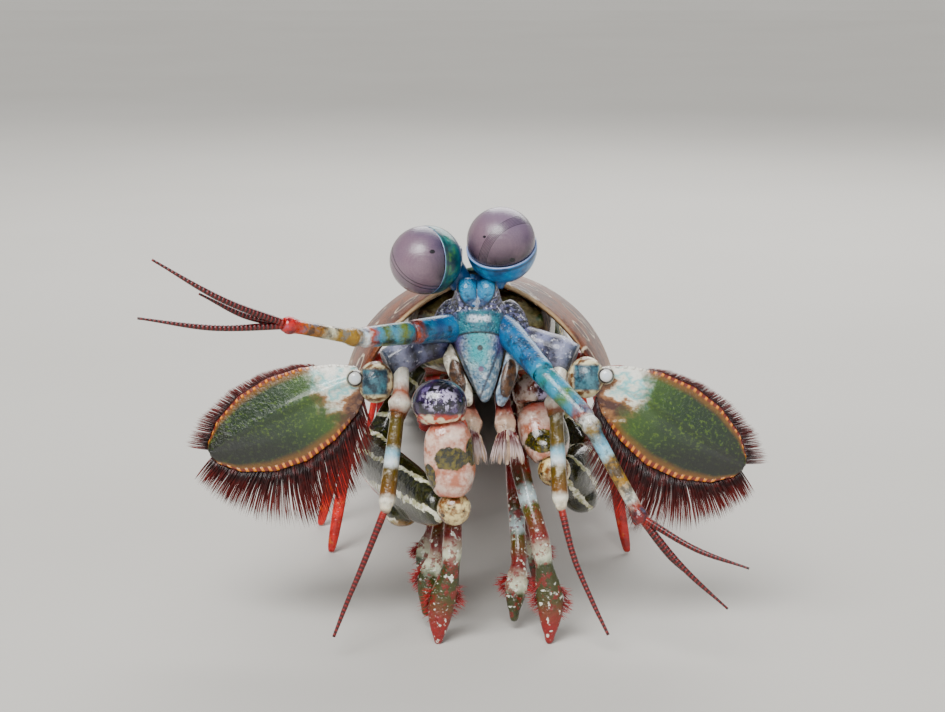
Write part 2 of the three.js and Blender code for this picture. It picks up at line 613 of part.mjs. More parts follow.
for (const [side, arms] of Object.entries(maxillipeds)) {
  arms.forEach(({ s, x, knee, wrist, palm, hand }, i) => {
    const size = [1, 0.85, 0.78][i];
    const hip = hipOf(s, x);
    const tip = facePoint(hand[0] - 0.2, hand[1], hand[2] - 2.6 * size);
    const foot = i === 0 ? [tip.x, tip.y, -0.4] : [tip.x, tip.y, tip.z - 1.2];
    const solid = join([
      limb([
        [...hip, 1.1 * size, 1.1 * size], face([...knee, 1.25 * size, 1.2 * size]),
        face([...wrist, 0.95 * size, 0.95 * size]), face([...mix(wrist, palm, 0.5), 1.35 * size,
            1.05 * size]),
        face([...palm, 0.8 * size, 0.75 * size]), face([...mix(palm, hand, 0.45), 1.65 * size, 0.75 * size]),
        face([...hand, 1.75 * size, 0.75 * size]), [...list(tip), 0.9 * size, 0.55 * size],
      ]),
      limb([[tip.x, tip.y, tip.z + 1.2, 0.55, 0.5], [...foot, 0.5, 0.45]], { sides: 6 }),
    ]);
    addNode(`maxilliped_${i + 3}_${side}`, cut(solid, [coreGrown, raptorialGrown[side]]), crimson,
        point(...hip));
  });
}

// Cross-section of the hind trunk: arched back, hanging side plates and a raised belly.
// top and bottom are depths below the back line.
function trunkRing(s, halfWidth, top, bottom, bellyRise) {
  const archSteps = 12;
  const ring = Array.from({ length: archSteps + 1 }, (_, i) => {
    const angle = (i / archSteps) * Math.PI;
    const x = halfWidth * power(Math.cos(angle), 0.85);
    return bodyPoint(s, x, lerp(bottom, top, power(Math.sin(angle), 0.85)));
  });
  const inset = 1.9;
  for (const share of [-1, 1]) {
    ring.push(bodyPoint(s, share * (halfWidth - inset), bottom));
    ring.push(bodyPoint(s, share * (halfWidth - inset - 1.3), bottom - bellyRise));
  }
  const [nearOuter, nearInner, farOuter, farInner] = ring.splice(archSteps + 1);
  ring.push(nearOuter, nearInner, farInner, farOuter);
  return ring;
}
const trunkHalfWidth = [[33, 10.2], [40, 11.4], [52, 12.4], [80, 13], [100, 12.2], [113, 10.6]];
const trunkDepth = [[33, 10.4], [52, 11.4], [80, 11], [100, 9.8], [113, 7.8]];

// One somite: its front edge is tucked in under the hind edge of the one before
function somite(from, to, bellyRise) {
  const stations = [
    [from + gap / 2, 0.93, 0.8],
    [from + 1.6, 0.965, 0.35],
    [lerp(from, to, 0.6), 1, 0.05],
    [to - gap / 2, 1.01, 0],
  ];
  return solidFromRings(stations.map(([s, width, top]) => (
    trunkRing(s, along(trunkHalfWidth, s) * width, top, along(trunkDepth, s), bellyRise))));
}

// The trunk without its steps, a little larger all round, which cuts what grows from it
function trunkGrown(from, to, bellyRise) {
  const middle = (from + to) / 2;
  return solidFromRings([from, middle, to].map((s) => trunkRing(
    s,
    along(trunkHalfWidth, s) * 1.01 + gap,
    -gap,
    along(trunkDepth, s) + gap,
    bellyRise,
  )));
}

const thoraxBelly = 1.2;
const pleonBelly = 1.8;
for (let i = 0; i < 3; i++) {
  const from = thoraxStart + i * thoraxSomite;
  const solid = somite(from, from + thoraxSomite, thoraxBelly).subtract(shieldGrown);
  addNode(`thorax_${i + 6}`, solid, olive, bodyPoint(from, 0, 5));
}
pleonSomites.reduce((from, length, i) => {
  addNode(`abdomen_${i + 1}`, somite(from, from + length, pleonBelly), olive, bodyPoint(from, 0, 5));
  return from + length;
}, pleonStart);

// Walking legs on the bare thorax: thin, bent at the knee, each with a small outer branch.
// knee and foot are offsets from the hip.
const walkingLegs = [
  { s: 36.4, knee: [5.4, -5.0, -0.6], foot: [9.4, -10.5] },
  { s: 42.8, knee: [6.6, -1.5, -0.8], foot: [11.4, -4.0] },
  { s: 49.2, knee: [6.6, 3.0, -0.4], foot: [11.4, 5.0] },
];
for (const [side, sign] of [['right', -1], ['left', 1]]) {
  walkingLegs.forEach(({ s, knee, foot }, i) => {
    const hip = list(bodyPoint(s, sign * 8.4, along(trunkDepth, s) - 1.2));
    const bend = [hip[0] + sign * knee[0], hip[1] + knee[1], hip[2] + knee[2]];
    const toe = [hip[0] + sign * foot[0], hip[1] + foot[1], -0.5];
    const branchEnd = mix(bend, toe, 0.5);
    branchEnd[0] -= sign * 3.4;
    branchEnd[1] += 1.2;
    const solid = join([
      limb([[...hip, 1.1, 1.1], [...mix(hip, bend, 0.5), 0.95, 0.95], [...bend, 0.85, 0.85]],
        { acrossWays: upWays, sides: 6 }),
      limb([[...bend, 0.8, 0.8], [...mix(bend, toe, 0.5), 0.65, 0.6], [...mix(bend, toe, 0.78), 0.85, 0.5],
        [...toe, 0.45, 0.4]], { sides: 6 }),
      limb([[...mix(hip, bend, 0.45), 0.5, 0.5], [...mix(mix(hip, bend, 0.6), branchEnd, 0.45), 0.5, 0.45],
        [...branchEnd, 0.3, 0.25]], { sides: 5 }),
    ]);
    const clear = cut(solid, [trunkGrown(s - 8, s + 8, thoraxBelly), shieldGrown]);
    addNode(`leg_${i + 1}_${side}`, clear, orange, point(...hip));
  });
}

// Pleopods: a short stem and two overlapping leaves under each of the first five pleon somites
for (let i = 0; i < 5; i++) {
  const s = pleonStart + (i + 0.45) * pleonSomites[0];
  for (const [side, sign] of [['right', -1], ['left', 1]]) {
    const root = bodyPoint(s, sign * 5.4, along(trunkDepth, s) - pleonBelly - 0.8);
    const drop = Math.min(7.4, root.z - 1.0);
    const stem = [root.x, root.y + 0.5, root.z - drop * 0.4];
    const leaves = [[sign * 2.2, 1.9, 0.7], [-sign * 1.4, 1.4, 0]].map(([dx, dy, back]) => limb([
      [stem[0], stem[1] + back, stem[2], 1.1, 0.5],
      [stem[0] + dx * 0.5, stem[1] + dy * 0.5 + back, stem[2] - drop * 0.3, 2.2, 0.5],
      [stem[0] + dx, stem[1] + dy + back, stem[2] - drop * 0.55, 1.3, 0.4],
    ], { sides: 5 }));
    const solid = join([limb([[...list(root), 1.7, 1.0], [...stem, 1.8, 1.0]], { sides: 5 }), ...leaves]);
    addNode(`pleopod_${i + 1}_${side}`, solid.subtract(trunkGrown(s - 8, s + 8, pleonBelly)), orange, root);
  }
}

// Telson: broad tail plate with five keels above and three pairs of teeth behind
const telsonHalfWidth = [[0, 9.4], [0.25, 10.8], [0.6, 10.2], [0.85, 7.6], [1, 4.2]];
const keels = [[0, 1.1, 1.5], [3.4, 0.6, 0.9], [6.8, 0.5, 0.9]]; // place, height and half width
const plateLength = telsonLength - 2.4;
function telson(grow = 0) {
  const rings = [0.01, 0.1, 0.3, 0.55, 0.78, 0.92, 1].map((share) => {
    const s = telsonStart + gap / 2 + share * plateLength;
    const half = along(telsonHalfWidth, share) + grow;
    const thick = lerp(5.2, 1.8, Math.pow(share, 0.8));
    const ring = [];
    const topSteps = 18;
    for (let i = 0; i <= topSteps; i++) {
      const x = half * Math.cos((i / topSteps) * Math.PI);
      const arch = thick * 0.6 * Math.sqrt(Math.max(0, 1 - (x / half) ** 2));
      const keelFade = Math.sin(Math.PI * THREE.MathUtils.clamp(share * 0.9 + 0.08, 0, 1)) ** 0.5;
      const keel = keels.reduce((height, [place, rise, width]) => (
        Math.max(height, rise * (1 - Math.abs(Math.abs(x) - place * (1 - 0.25 * share)) / width))), 0);
      ring.push(bodyPoint(s, x, 0.5 + thick * 0.6 - arch - keel * keelFade - grow));
    }
    for (const place of [-0.75, -0.3, 0.3, 0.75]) {
      ring.push(bodyPoint(s, half * place, 0.5 + thick * 0.95 + grow));
    }
    return ring;
  });
  const teeth = [[0.97, 2.8, 0.5, 2.8], [0.87, 6.4, 1.2, 2.7], [0.66, 8.8, 1.4, 2.6]].flatMap(
    ([share, x, out, reach]) => [-1, 1].map((sign) => {
      const s = telsonStart + share * plateLength;
      return spine(bodyPoint(s - 1.2, sign * x, 1.9), bodyPoint(s + reach, sign * (x + out), 2.2),
          1.0 + grow);
    }),
  );
  return join([solidFromRings(rings), ...teeth]);
}
const telsonGrown = telson(gap);
addNode('telson', telson(), olive, bodyPoint(telsonStart, 0, 3));

// Uropods: a spined base and two fringed paddles on each side of the telson
const outerPaddle = [[0, 1.6, 1.6, 0.7], [0.2, 2.6, 2.3, 0.65], [0.5, 3.6, 3.0, 0.6], [0.8, 3.4, 3.0, 0.5],
    [1, 1.6, 1.4, 0.3]];
const innerPaddle = [[0, 1.2, 1.2, 0.7], [0.3, 1.9, 1.9, 0.65], [0.6, 2.6, 2.4, 0.6], [0.85, 2.4, 2.2, 0.5],
    [1, 1.2, 1.0, 0.3]];
for (const [side, sign] of [['right', -1], ['left', 1]]) {
  const root = bodyPoint(telsonStart - 3.6, sign * 9.0, 4.4);
  const fork = bodyPoint(telsonStart + 1.6, sign * 12.6, 5.0);
  const knuckle = bodyPoint(telsonStart + 8.0, sign * 16.6, 4.6);
  const outerTip = bodyPoint(telsonStart + 19.0, sign * 20.4, 3.4);
  const innerTip = bodyPoint(telsonStart + 17.4, sign * 14.8, 3.2);
  const wideWays = point(sign, -0.35, 0).normalize();
  const spines = Array.from({ length: 8 }, (_, i) => {
    const at = fork.clone().lerp(knuckle, 0.2 + 0.1 * i).addScaledVector(sideWays, sign * 1.2);
    return spine(at, at.clone().add(point(sign * 1.5, 1.9, 0)), 0.45);
  });
  const outer = { root: knuckle, tip: outerTip, wideWays, stops: outerPaddle };
  const inner = { root: fork, tip: innerTip, wideWays, stops: innerPaddle };
  const outerSide = { lengths: [[0, 1.4], [0.8, 2], [1, 2.4]], sweep: [[0, 0.7], [0.8, 1], [1, 2.4]],
      width: 1.9 };
  const solid = join([
    ...fringe(outer, 1, { shares: evenly(0.35, 0.95, 4), ...outerSide }),
    ...fringe(outer, -1, { shares: evenly(0.4, 0.95, 4), ...outerSide }),
    ...fringe(inner, 1, { shares: evenly(0.95, 0.96, 1), ...outerSide }),
    ...fringe(inner, -1, { shares: evenly(0.5, 0.95, 3), ...outerSide }),
    limb([[...list(root), 2.4, 1.7], [...list(fork), 2.2, 1.4]]),
    spine(fork.clone().add(point(-sign * 0.6, -1, -0.2)), bodyPoint(telsonStart + 10.5, sign * 12.6, 5.0),
        1.0),
    limb([[...list(fork), 1.5, 1.1], [...list(knuckle), 1.9, 0.9]], { acrossWays: wideWays }),
    ...spines,
    paddle({ ...outer, sides: 8 }),
    paddle({ ...inner, sides: 8 }),
  ]);
  const clear = cut(solid, [telsonGrown, trunkGrown(telsonStart - 10, telsonStart + gap, pleonBelly)]);
  addNode(`uropod_${side}`, clear, olive, root);
}

// The origin is on the floor, under the middle of the animal's box
const box = new THREE.Box3().setFromObject(animal);
const middle = box.getCenter(new THREE.Vector3());
animal.position.set(-middle.x, -middle.y, -box.min.z);

const model = new THREE.Group();
model.add(animal);

export default model;
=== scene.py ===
# A mantis shrimp, face on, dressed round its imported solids. Lengths in the
# dictionaries are millimetres; the scene is in metres.
import math
import random

import bpy
import numpy as np
from mathutils import Matrix, Vector


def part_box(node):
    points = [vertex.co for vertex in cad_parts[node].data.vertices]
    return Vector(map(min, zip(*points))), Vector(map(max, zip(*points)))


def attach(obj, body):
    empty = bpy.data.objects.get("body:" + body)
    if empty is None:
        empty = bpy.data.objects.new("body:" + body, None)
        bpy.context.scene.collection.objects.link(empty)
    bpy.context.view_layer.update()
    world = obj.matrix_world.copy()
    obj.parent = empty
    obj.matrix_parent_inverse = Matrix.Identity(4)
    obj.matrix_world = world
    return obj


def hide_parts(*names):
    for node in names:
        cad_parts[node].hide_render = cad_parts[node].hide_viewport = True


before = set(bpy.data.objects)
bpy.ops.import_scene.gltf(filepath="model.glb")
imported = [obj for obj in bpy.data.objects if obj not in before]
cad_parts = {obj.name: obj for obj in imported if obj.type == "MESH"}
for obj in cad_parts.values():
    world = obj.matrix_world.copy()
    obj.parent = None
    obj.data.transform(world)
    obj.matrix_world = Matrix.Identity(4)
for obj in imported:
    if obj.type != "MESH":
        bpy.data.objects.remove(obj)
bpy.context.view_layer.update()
mm = 0.001
random.seed(11)

# The head leans back, so places on it are given in its own frame: x to the
# animal's left, y back into the head, z up the face.
headFrame = {"lean": 12, "pivotUp": 31, "pivotHeight": 30.4, "leftEye": (2.2, -1.0, 43.0), "eyeRadius": 3.6}
leanTurn = Matrix.Rotation(-math.radians(headFrame["lean"]), 3, "X")


def findShift():
    # where the source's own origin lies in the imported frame
    low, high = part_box("eye_left")
    radius = headFrame["eyeRadius"]
    x, y, z = headFrame["leftEye"]
    there = leanTurn @ Vector((x, y, z - headFrame["pivotUp"])) + Vector((0, 0, headFrame["pivotHeight"]))
    here = Vector(((low.x + high.x) / 2 / mm, low.y / mm + radius, 0))
    return Vector((here.x - there.x, here.y - there.y, 0))


shift = findShift()


def headPoint(x, y, z):
    turned = leanTurn @ Vector((x, y, z - headFrame["pivotUp"])) + Vector((0, 0, headFrame["pivotHeight"]))
    return (turned + shift) * mm


def headWays(x, y, z):
    return (leanTurn @ Vector((x, y, z))).normalized()


tone = {"depth": 1.48, "strength": 1.25}


def tint(code):
    # linear colour of a web colour such as "#a05030", made deeper and stronger
    parts = [int(code[i:i + 2], 16) / 255 for i in (1, 3, 5)]
    parts = [(p / 12.92 if p <= 0.04045 else ((p + 0.055) / 1.055) ** 2.4) ** tone["depth"] for p in parts]
    grey = sum(parts) / 3
    return [max(0.0, grey + (p - grey) * tone["strength"]) for p in parts] + [1.0]


class Field:
    # a number, colour or vector that varies over a surface; sums on it add Math nodes
    def __init__(self, surface, socket):
        self.surface = surface
        self.socket = socket

    def math(self, operation, first, second=0.0):
        return self.surface.node("ShaderNodeMath", {"operation": operation}, {0: first, 1: second})

    def __add__(self, other):
        return self.math("ADD", self, other)

    def __sub__(self, other):
        return self.math("SUBTRACT", self, other)

    def __mul__(self, other):
        return self.math("MULTIPLY", self, other)

    def __truediv__(self, other):
        return self.math("DIVIDE", self, other)

    def __radd__(self, other):
        return self.math("ADD", other, self)

    def __rsub__(self, other):
        return self.math("SUBTRACT", other, self)

    def __rmul__(self, other):
        return self.math("MULTIPLY", other, self)

    def __abs__(self):
        return self.math("ABSOLUTE", self)

    def atLeast(self, other):
        return self.math("MAXIMUM", self, other)

    def atMost(self, other):
        return self.math("MINIMUM", self, other)

    def sine(self):
        return self.math("SINE", self)

    def square(self):
        return self * self

    def root(self):
        return self.math("SQRT", self)

    def step(self, low, high):
        # 0 below low and 1 above high, smooth between; low may be the larger
        ends = (low, high, 0.0, 1.0) if low < high else (high, low, 1.0, 0.0)
        return self.surface.node("ShaderNodeMapRange", {"interpolation_type": "SMOOTHSTEP", "clamp": True},
                                 {0: self, **dict(enumerate(ends, 1))})

    def band(self, middle, halfWidth, soft=0.15):
        # 1 where the number is within halfWidth of middle
        return abs(self - middle).step(halfWidth + soft, halfWidth - soft)


class Surface:
    # one material, made by adding nodes
    def __init__(self, name):
        self.material = bpy.data.materials.new(name)
        self.material.use_nodes = True
        self.tree = self.material.node_tree
        self.tree.nodes.clear()

    def node(self, kind, settings=None, sockets=None, output=0):
        made = self.tree.nodes.new(kind)
        for key, value in (settings or {}).items():
            if key == "stops":
                self.setStops(made.color_ramp, value)
            else:
                setattr(made, key, value)
        for key, value in (sockets or {}).items():
            if isinstance(value, Field):
                self.tree.links.new(value.socket, made.inputs[key])
            else:
                made.inputs[key].default_value = value
        return Field(self, made.outputs[output]) if made.outputs else made

    def setStops(self, ramp, stops):
        while len(ramp.elements) < len(stops):
            ramp.elements.new(0.5)
        for element, (place, code) in zip(ramp.elements, stops):
            element.position = place
            element.color = tint(code)

    def mapped(self, location=(0, 0, 0), turn=0.0, scale=(1 / mm,) * 3):
        place = self.node("ShaderNodeTexCoord", None, None, "Object")
        return self.node("ShaderNodeMapping", {"vector_type": "POINT"},
                         {"Vector": place, "Location": location, "Rotation": (turn, 0, 0), "Scale": scale})

    def headPlace(self):
        # x, y and z in millimetres in the head's frame
        lifted = shift + Vector((0, 0, headFrame["pivotHeight"]))
        start = Vector((0, 0, headFrame["pivotUp"])) - leanTurn.inverted() @ lifted
        return self.parts(self.mapped(tuple(start), math.radians(headFrame["lean"])))

    def bodyPlace(self):
        # x from the middle line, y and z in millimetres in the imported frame
        x, y, z = self.parts(self.mapped())
        return x - shift.x, y, z

    def parts(self, vector):
        return [self.node("ShaderNodeSeparateXYZ", None, {0: vector}, i) for i in range(3)]

    def reading(self, name):
        return self.node("ShaderNodeAttribute", {"attribute_name": name}, None, "Fac")

    def mottle(self, size, detail=4.0, rough=0.55, seed=0.0, stretch=(1, 1, 1)):
        # noise whose patches are about size millimetres across
        place = self.mapped((seed, seed * 0.7, -seed), scale=tuple(s / mm for s in stretch))
        return self.node("ShaderNodeTexNoise", None,
                         {"Vector": place, "Scale": 1 / size, "Detail": detail, "Roughness": rough})

    def cells(self, size, seed=0.0, randomness=1.0):
        # distance from the middle of cells about size millimetres across
        place = self.mapped((seed, seed * 0.7, -seed))
        return self.node("ShaderNodeTexVoronoi", None,
                         {"Vector": place, "Scale": 1 / size, "Randomness": randomness}, "Distance")

    def ramp(self, value, stops):
        return self.node("ShaderNodeValToRGB", {"stops": stops}, {0: value})

    def blend(self, share, below, above):
        # colour below where share is 0 and above where it is 1
        sides = {6: below, 7: above}
        sockets = {i: tint(c) if isinstance(c, str) else c for i, c in sides.items()}
        settings = {"data_type": "RGBA", "clamp_factor": True}
        return self.node("ShaderNodeMix", settings, {0: share, **sockets}, 2)

    def close(self, color, rough, bump=None, depth=0.1, coat=0.35, scatter=0.0, coatRough=0.08):
        sockets = {"Base Color": color, "Roughness": rough, "Coat Weight": coat, "Coat Roughness": coatRough,
                   "IOR": 1.5}
        if scatter:
            sockets["Subsurface Weight"] = scatter
            sockets["Subsurface Radius"] = (1.0, 0.45, 0.25)
            sockets["Subsurface Scale"] = 1.2 * mm
        if bump is not None:
            sockets["Normal"] = self.node("ShaderNodeBump", None,
                                          {"Height": bump, "Distance": depth * mm, "Strength": 1.0})
        shader = self.node("ShaderNodeBsdfPrincipled", None, sockets)
        self.node("ShaderNodeOutputMaterial", None, {0: shader})
        return self.material


def activate(*pieces):
    for other in bpy.context.selected_objects:
        other.select_set(False)
    for piece in pieces:
        piece.select_set(True)
    bpy.context.view_layer.objects.active = pieces[0]


def applyModifier(piece, kind, **settings):
    activate(piece)
    made = piece.modifiers.new(kind.lower(), kind)
    for key, value in settings.items():
        setattr(made, key, value)
    bpy.ops.object.modifier_apply(modifier=made.name)


def inEdit(piece, *steps):
    activate(piece)
    bpy.ops.object.mode_set(mode="EDIT")
    bpy.ops.mesh.select_all(action="SELECT")
    for step in steps:
        step()
    bpy.ops.object.mode_set(mode="OBJECT")


def dress(piece, material, slot, *nodes):
    # the piece's finish, its place on the body (slot, not used; every piece hangs from the root) and the
    # solids that it stands for
    piece.data.materials.clear()
    piece.data.materials.append(material)
    activate(piece)
    bpy.ops.object.shade_smooth()
    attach(piece, "root")
    if nodes:
        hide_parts(*nodes)


def skinOf(node, name, levels, cell=0.0, smooth=0, swell=0.0):
    # a smooth shell drawn over one solid: merged, subdivided, remeshed and relaxed
    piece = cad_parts[node].copy()
    piece.data = piece.data.copy()
    piece.parent = None
    for key in list(piece.keys()):
        del piece[key]
    bpy.context.scene.collection.objects.link(piece)
    piece.name = name
    piece.data.name = name
    inEdit(piece, lambda: bpy.ops.mesh.remove_doubles(threshold=0.002 * mm),
           lambda: bpy.ops.mesh.tris_convert_to_quads(face_threshold=1.0, shape_threshold=1.2))
    if levels:
        applyModifier(piece, "SUBSURF", levels=levels, render_levels=levels)
    if cell:
        applyModifier(piece, "REMESH", mode="VOXEL", voxel_size=cell * mm)
    if smooth:
        applyModifier(piece, "SMOOTH", factor=0.5, iterations=smooth)
    if swell:
        applyModifier(piece, "DISPLACE", strength=swell * mm, mid_level=0.0)
    return piece


def markAlong(piece, path):
    # on each vertex: millimetres along the path to the point nearest to it
    places = np.array([v.co for v in piece.data.vertices]) / mm
    path = np.array([tuple(p / mm) for p in path])
    best = np.full(len(places), 1e9)
    found = np.zeros(len(places), np.float32)
    done = 0.0
    for start, end in zip(path[:-1], path[1:]):
        run = end - start
        length = np.linalg.norm(run)
        share = np.clip((places - start) @ run / length ** 2, 0, 1)
        away = np.linalg.norm(places - start - share[:, None] * run, axis=1)
        closer = away < best
        best[closer] = away[closer]
        found[closer] = (done + share * length)[closer]
        done += length
    piece.data.attributes.new("along", "FLOAT", "POINT").data.foreach_set("value", found)


def densePath(stops, steps=8):
    # places and radii on a smooth line through [x, y, z, radius] stops
    stops = [np.array(s, float) for s in stops]
    stops = [2 * stops[0] - stops[1]] + stops + [2 * stops[-1] - stops[-2]]
    found = []
    for a, b, c, d in zip(stops[:-3], stops[1:-2], stops[2:-1], stops[3:]):
        for i in range(steps):
            t = i / steps
            point = 0.5 * (2 * b + (c - a) * t + (2 * a - 5 * b + 4 * c - d) * t ** 2
                           + (3 * b - a - 3 * c + d) * t ** 3)
            point[3] = max(0.03, b[3] + (c[3] - b[3]) * t * t * (3 - 2 * t))
            found.append(point)
    return found + [stops[-2]]


def tube(name, stops, steps, around):
    # a round limb along its stops, as a bevelled curve made into a mesh
    bpy.ops.object.select_all(action="DESELECT")
    bpy.ops.curve.primitive_nurbs_path_add()
    line = bpy.context.object
    line.name = name
    data = line.data
    data.splines.clear()
    spline = data.splines.new("POLY")
    dense = densePath(stops, steps)
    spline.points.add(len(dense) - 1)
    for point, (x, y, z, radius) in zip(spline.points, dense):
        point.co = (*headPoint(x, y, z), 1)
        point.radius = radius
    data.bevel_depth = mm
    data.bevel_resolution = around
    data.use_fill_caps = True
    line.matrix_world = Matrix.Identity(4)
    bpy.ops.object.convert(target="MESH")
    piece = bpy.context.object
    inEdit(piece, lambda: bpy.ops.mesh.remove_doubles(threshold=0.001 * mm),
           lambda: bpy.ops.mesh.normals_make_consistent(inside=False))
    return piece


def limb(name, stops, steps, around, material, *nodes):
    # a feeler's tube, which knows how far along it each point lies
    piece = tube(name, stops, steps, around)
    markAlong(piece, [headPoint(*p[:3]) for p in densePath(stops, steps)])
    dress(piece, material, "feelers", *nodes)


def ball(name, centre, radii, aim=(0, 0, 1), segments=48, rings=32):
    # a rounded lump with its third radius along aim, in the head's frame
    turn = headWays(*aim).to_track_quat("Z", "Y").to_matrix().to_4x4()
    bpy.ops.mesh.primitive_uv_sphere_add(segments=segments, ring_count=rings, radius=1)
    piece = bpy.context.object
    piece.name = name
    piece.data.name = name
    stretch = Matrix.Diagonal((*(Vector(radii) * mm), 1))
    piece.data.transform(Matrix.Translation(headPoint(*centre)) @ turn @ stretch)
    return piece


bristle = {"sides": 3, "rings": 4, "taper": 0.75, "patch": 0.0015}


def setae(name, hairs):
    # thin tapered bristles; each is (root, tip, bow, radius, u, v) in metres, with u and v
    # its root's place on the unwrap of what it grows from
    sides, rings, patch = bristle["sides"], bristle["rings"], bristle["patch"]
    vertices, faces, marks, patches = [], [], [], []
    for root, tip, bow, radius, u, v in hairs:
        ahead = (tip - root).normalized()
        first = ahead.orthogonal().normalized()
        second = ahead.cross(first)
        start = len(vertices)
        for i in range(rings):
            share = i / rings
            middle = root.lerp(tip, share) + bow * math.sin(share * math.pi)
            size = radius * (1 - bristle["taper"] * share)
            for k in range(sides):
                angle = 2 * math.pi * k / sides
                vertices.append(middle + (first * math.cos(angle) + second * math.sin(angle)) * size)
                marks.append(share)
                patches.append((u + patch * math.cos(angle), v + patch * share))
        vertices.append(tip)
        marks.append(1.0)
        patches.append((u, v + patch))
        for i in range(rings - 1):
            for k in range(sides):
                a, b = start + i * sides + k, start + i * sides + (k + 1) % sides
                faces.append((a, b, b + sides, a + sides))
        last = start + (rings - 1) * sides
        for k in range(sides):
            faces.append((last + k, last + (k + 1) % sides, start + rings * sides))
        faces.append(tuple(start + k for k in reversed(range(sides))))
    mesh = bpy.data.meshes.new(name)
    mesh.from_pydata(vertices, [], faces)
    mesh.attributes.new("along", "FLOAT", "POINT").data.foreach_set("value", marks)
    layer = mesh.uv_layers.new(name="OFBake")
    for loop in mesh.loops:
        layer.data[loop.index].uv = patches[loop.vertex_index]
    piece = bpy.data.objects.new(name, mesh)
    bpy.context.scene.collection.objects.link(piece)
    return piece


def setaFinish(name, root, tip, seed=0.0):
    s = Surface(name)
    share = s.reading("along")
    color = s.blend(share.step(0.15, 0.95), root, tip)
    color = s.blend(s.mottle(0.8, 2, 0.5, seed).step(0.45, 0.7) * 0.45, color, tip)
    return s.close(color, 0.4, coat=0.15)


def limbFinish(name, stops, speck="#efe9dc", dark="#3a2c1a", specks=0.25, blotch=0.35, bandBend=0.7,
               seed=0.0):
    # bands along a limb, at millimetres from its root, broken by blotches and pale specks
    s = Surface(name)
    total = stops[-1][0]
    run = s.reading("along") + (s.mottle(1.1, 3, 0.6, seed) - 0.5) * (2 * bandBend)
    color = s.ramp(run / total, [(at / total, code) for at, code in stops])
    color = s.blend(s.mottle(1.5, 5, 0.65, seed + 3).step(0.49, 0.62) * blotch, color, dark)
    color = s.blend(s.mottle(1.3, 4, 0.6, seed + 7).step(0.54, 0.68) * specks, color, speck)
    pits = s.cells(0.35, seed=seed)
    height = s.mottle(0.5, 4, 0.6, seed) * 0.6 + pits.step(0.0, 0.5) * 0.4
    return s.close(color, 0.32, height, 0.12, coat=0.4, scatter=0.15)


print("helpers ready")

# Floor, backdrop, lights and the camera at the photograph's angle
studio = {
    "camera": (-0.79, -260, 30.95), "lens": 94.1, "clip": (0.02, 10), "floor": 6, "foot": 0.28,
    "wall": [(0, 0.3, 0), (0, 1.5, 1.7)], "wallStart": (0, -2.2, 0), "paper": ("#cfcdc9", "#d6d4d0"),
    "lights": [("key", (-170, -260, 300), 0.2, 0.9), ("fill", (240, -220, 120), 0.3, 0.2),
               ("back", (60, 240, 260), 0.3, 1.3), ("low", (0, -260, 20), 0.25, 0.15)],
    "sun": {"energy": 3.3, "turn": (42, 0, -14), "width": 30}, "sky": (0.8, 0.84, 0.9, 1), "skyPower": 0.22,
}


def makeStage():
    bpy.ops.object.select_all(action="DESELECT")
    bpy.ops.mesh.primitive_plane_add(size=studio["floor"], location=(0, 0, 0))
    floor = bpy.context.object
    floor.name = "floor"

    def raiseBack():
        # the far edge is drawn up into a wall, with a round foot
        mesh = bpy.context.edit_object.data
        bpy.ops.mesh.select_all(action="DESELECT")
        bpy.ops.mesh.select_mode(type="EDGE")
        bpy.ops.object.mode_set(mode="OBJECT")
        for edge in mesh.edges:
            edge.select = all(mesh.vertices[i].co.y > 1 for i in edge.vertices)
        bpy.ops.object.mode_set(mode="EDIT")
        bpy.ops.transform.translate(value=studio["wallStart"])
        for move in studio["wall"]:
            bpy.ops.mesh.extrude_region_move(TRANSFORM_OT_translate={"value": move})

    inEdit(floor, raiseBack)
    applyModifier(floor, "BEVEL", width=studio["foot"], segments=12)
    s = Surface("palePaper")
    floor.data.materials.append(s.close(s.blend(s.mottle(60, 2), *studio["paper"]), 0.9, coat=0.0))
    for name, place, size, power in studio["lights"]:
        bpy.ops.object.light_add(type="AREA", location=Vector(place) * mm)
        light = bpy.context.object
        light.name = name
        light.data.size = size
        light.data.energy = power
        aim = Vector((0, -0.04, 0.03)) - light.location
        light.rotation_euler = aim.to_track_quat("-Z", "Y").to_euler()
    sun = studio["sun"]
    bpy.ops.object.light_add(type="SUN", rotation=[math.radians(angle) for angle in sun["turn"]])
    bpy.context.object.data.energy = sun["energy"]
    bpy.context.object.data.angle = math.radians(sun["width"])
    world = bpy.data.worlds.new("studio")
    world.use_nodes = True
    background = world.node_tree.nodes["Background"]
    background.inputs[0].default_value = studio["sky"]
    background.inputs[1].default_value = studio["skyPower"]
    bpy.context.scene.world = world
    bpy.ops.object.camera_add(location=headPoint(*studio["camera"]))
    camera = bpy.context.object
    camera.rotation_euler = headWays(0, 1, 0).to_track_quat("-Z", "Y").to_euler()
    camera.data.lens = studio["lens"]
    camera.data.clip_start, camera.data.clip_end = studio["clip"]
    bpy.context.scene.camera = camera


makeStage()
print("stage ready")

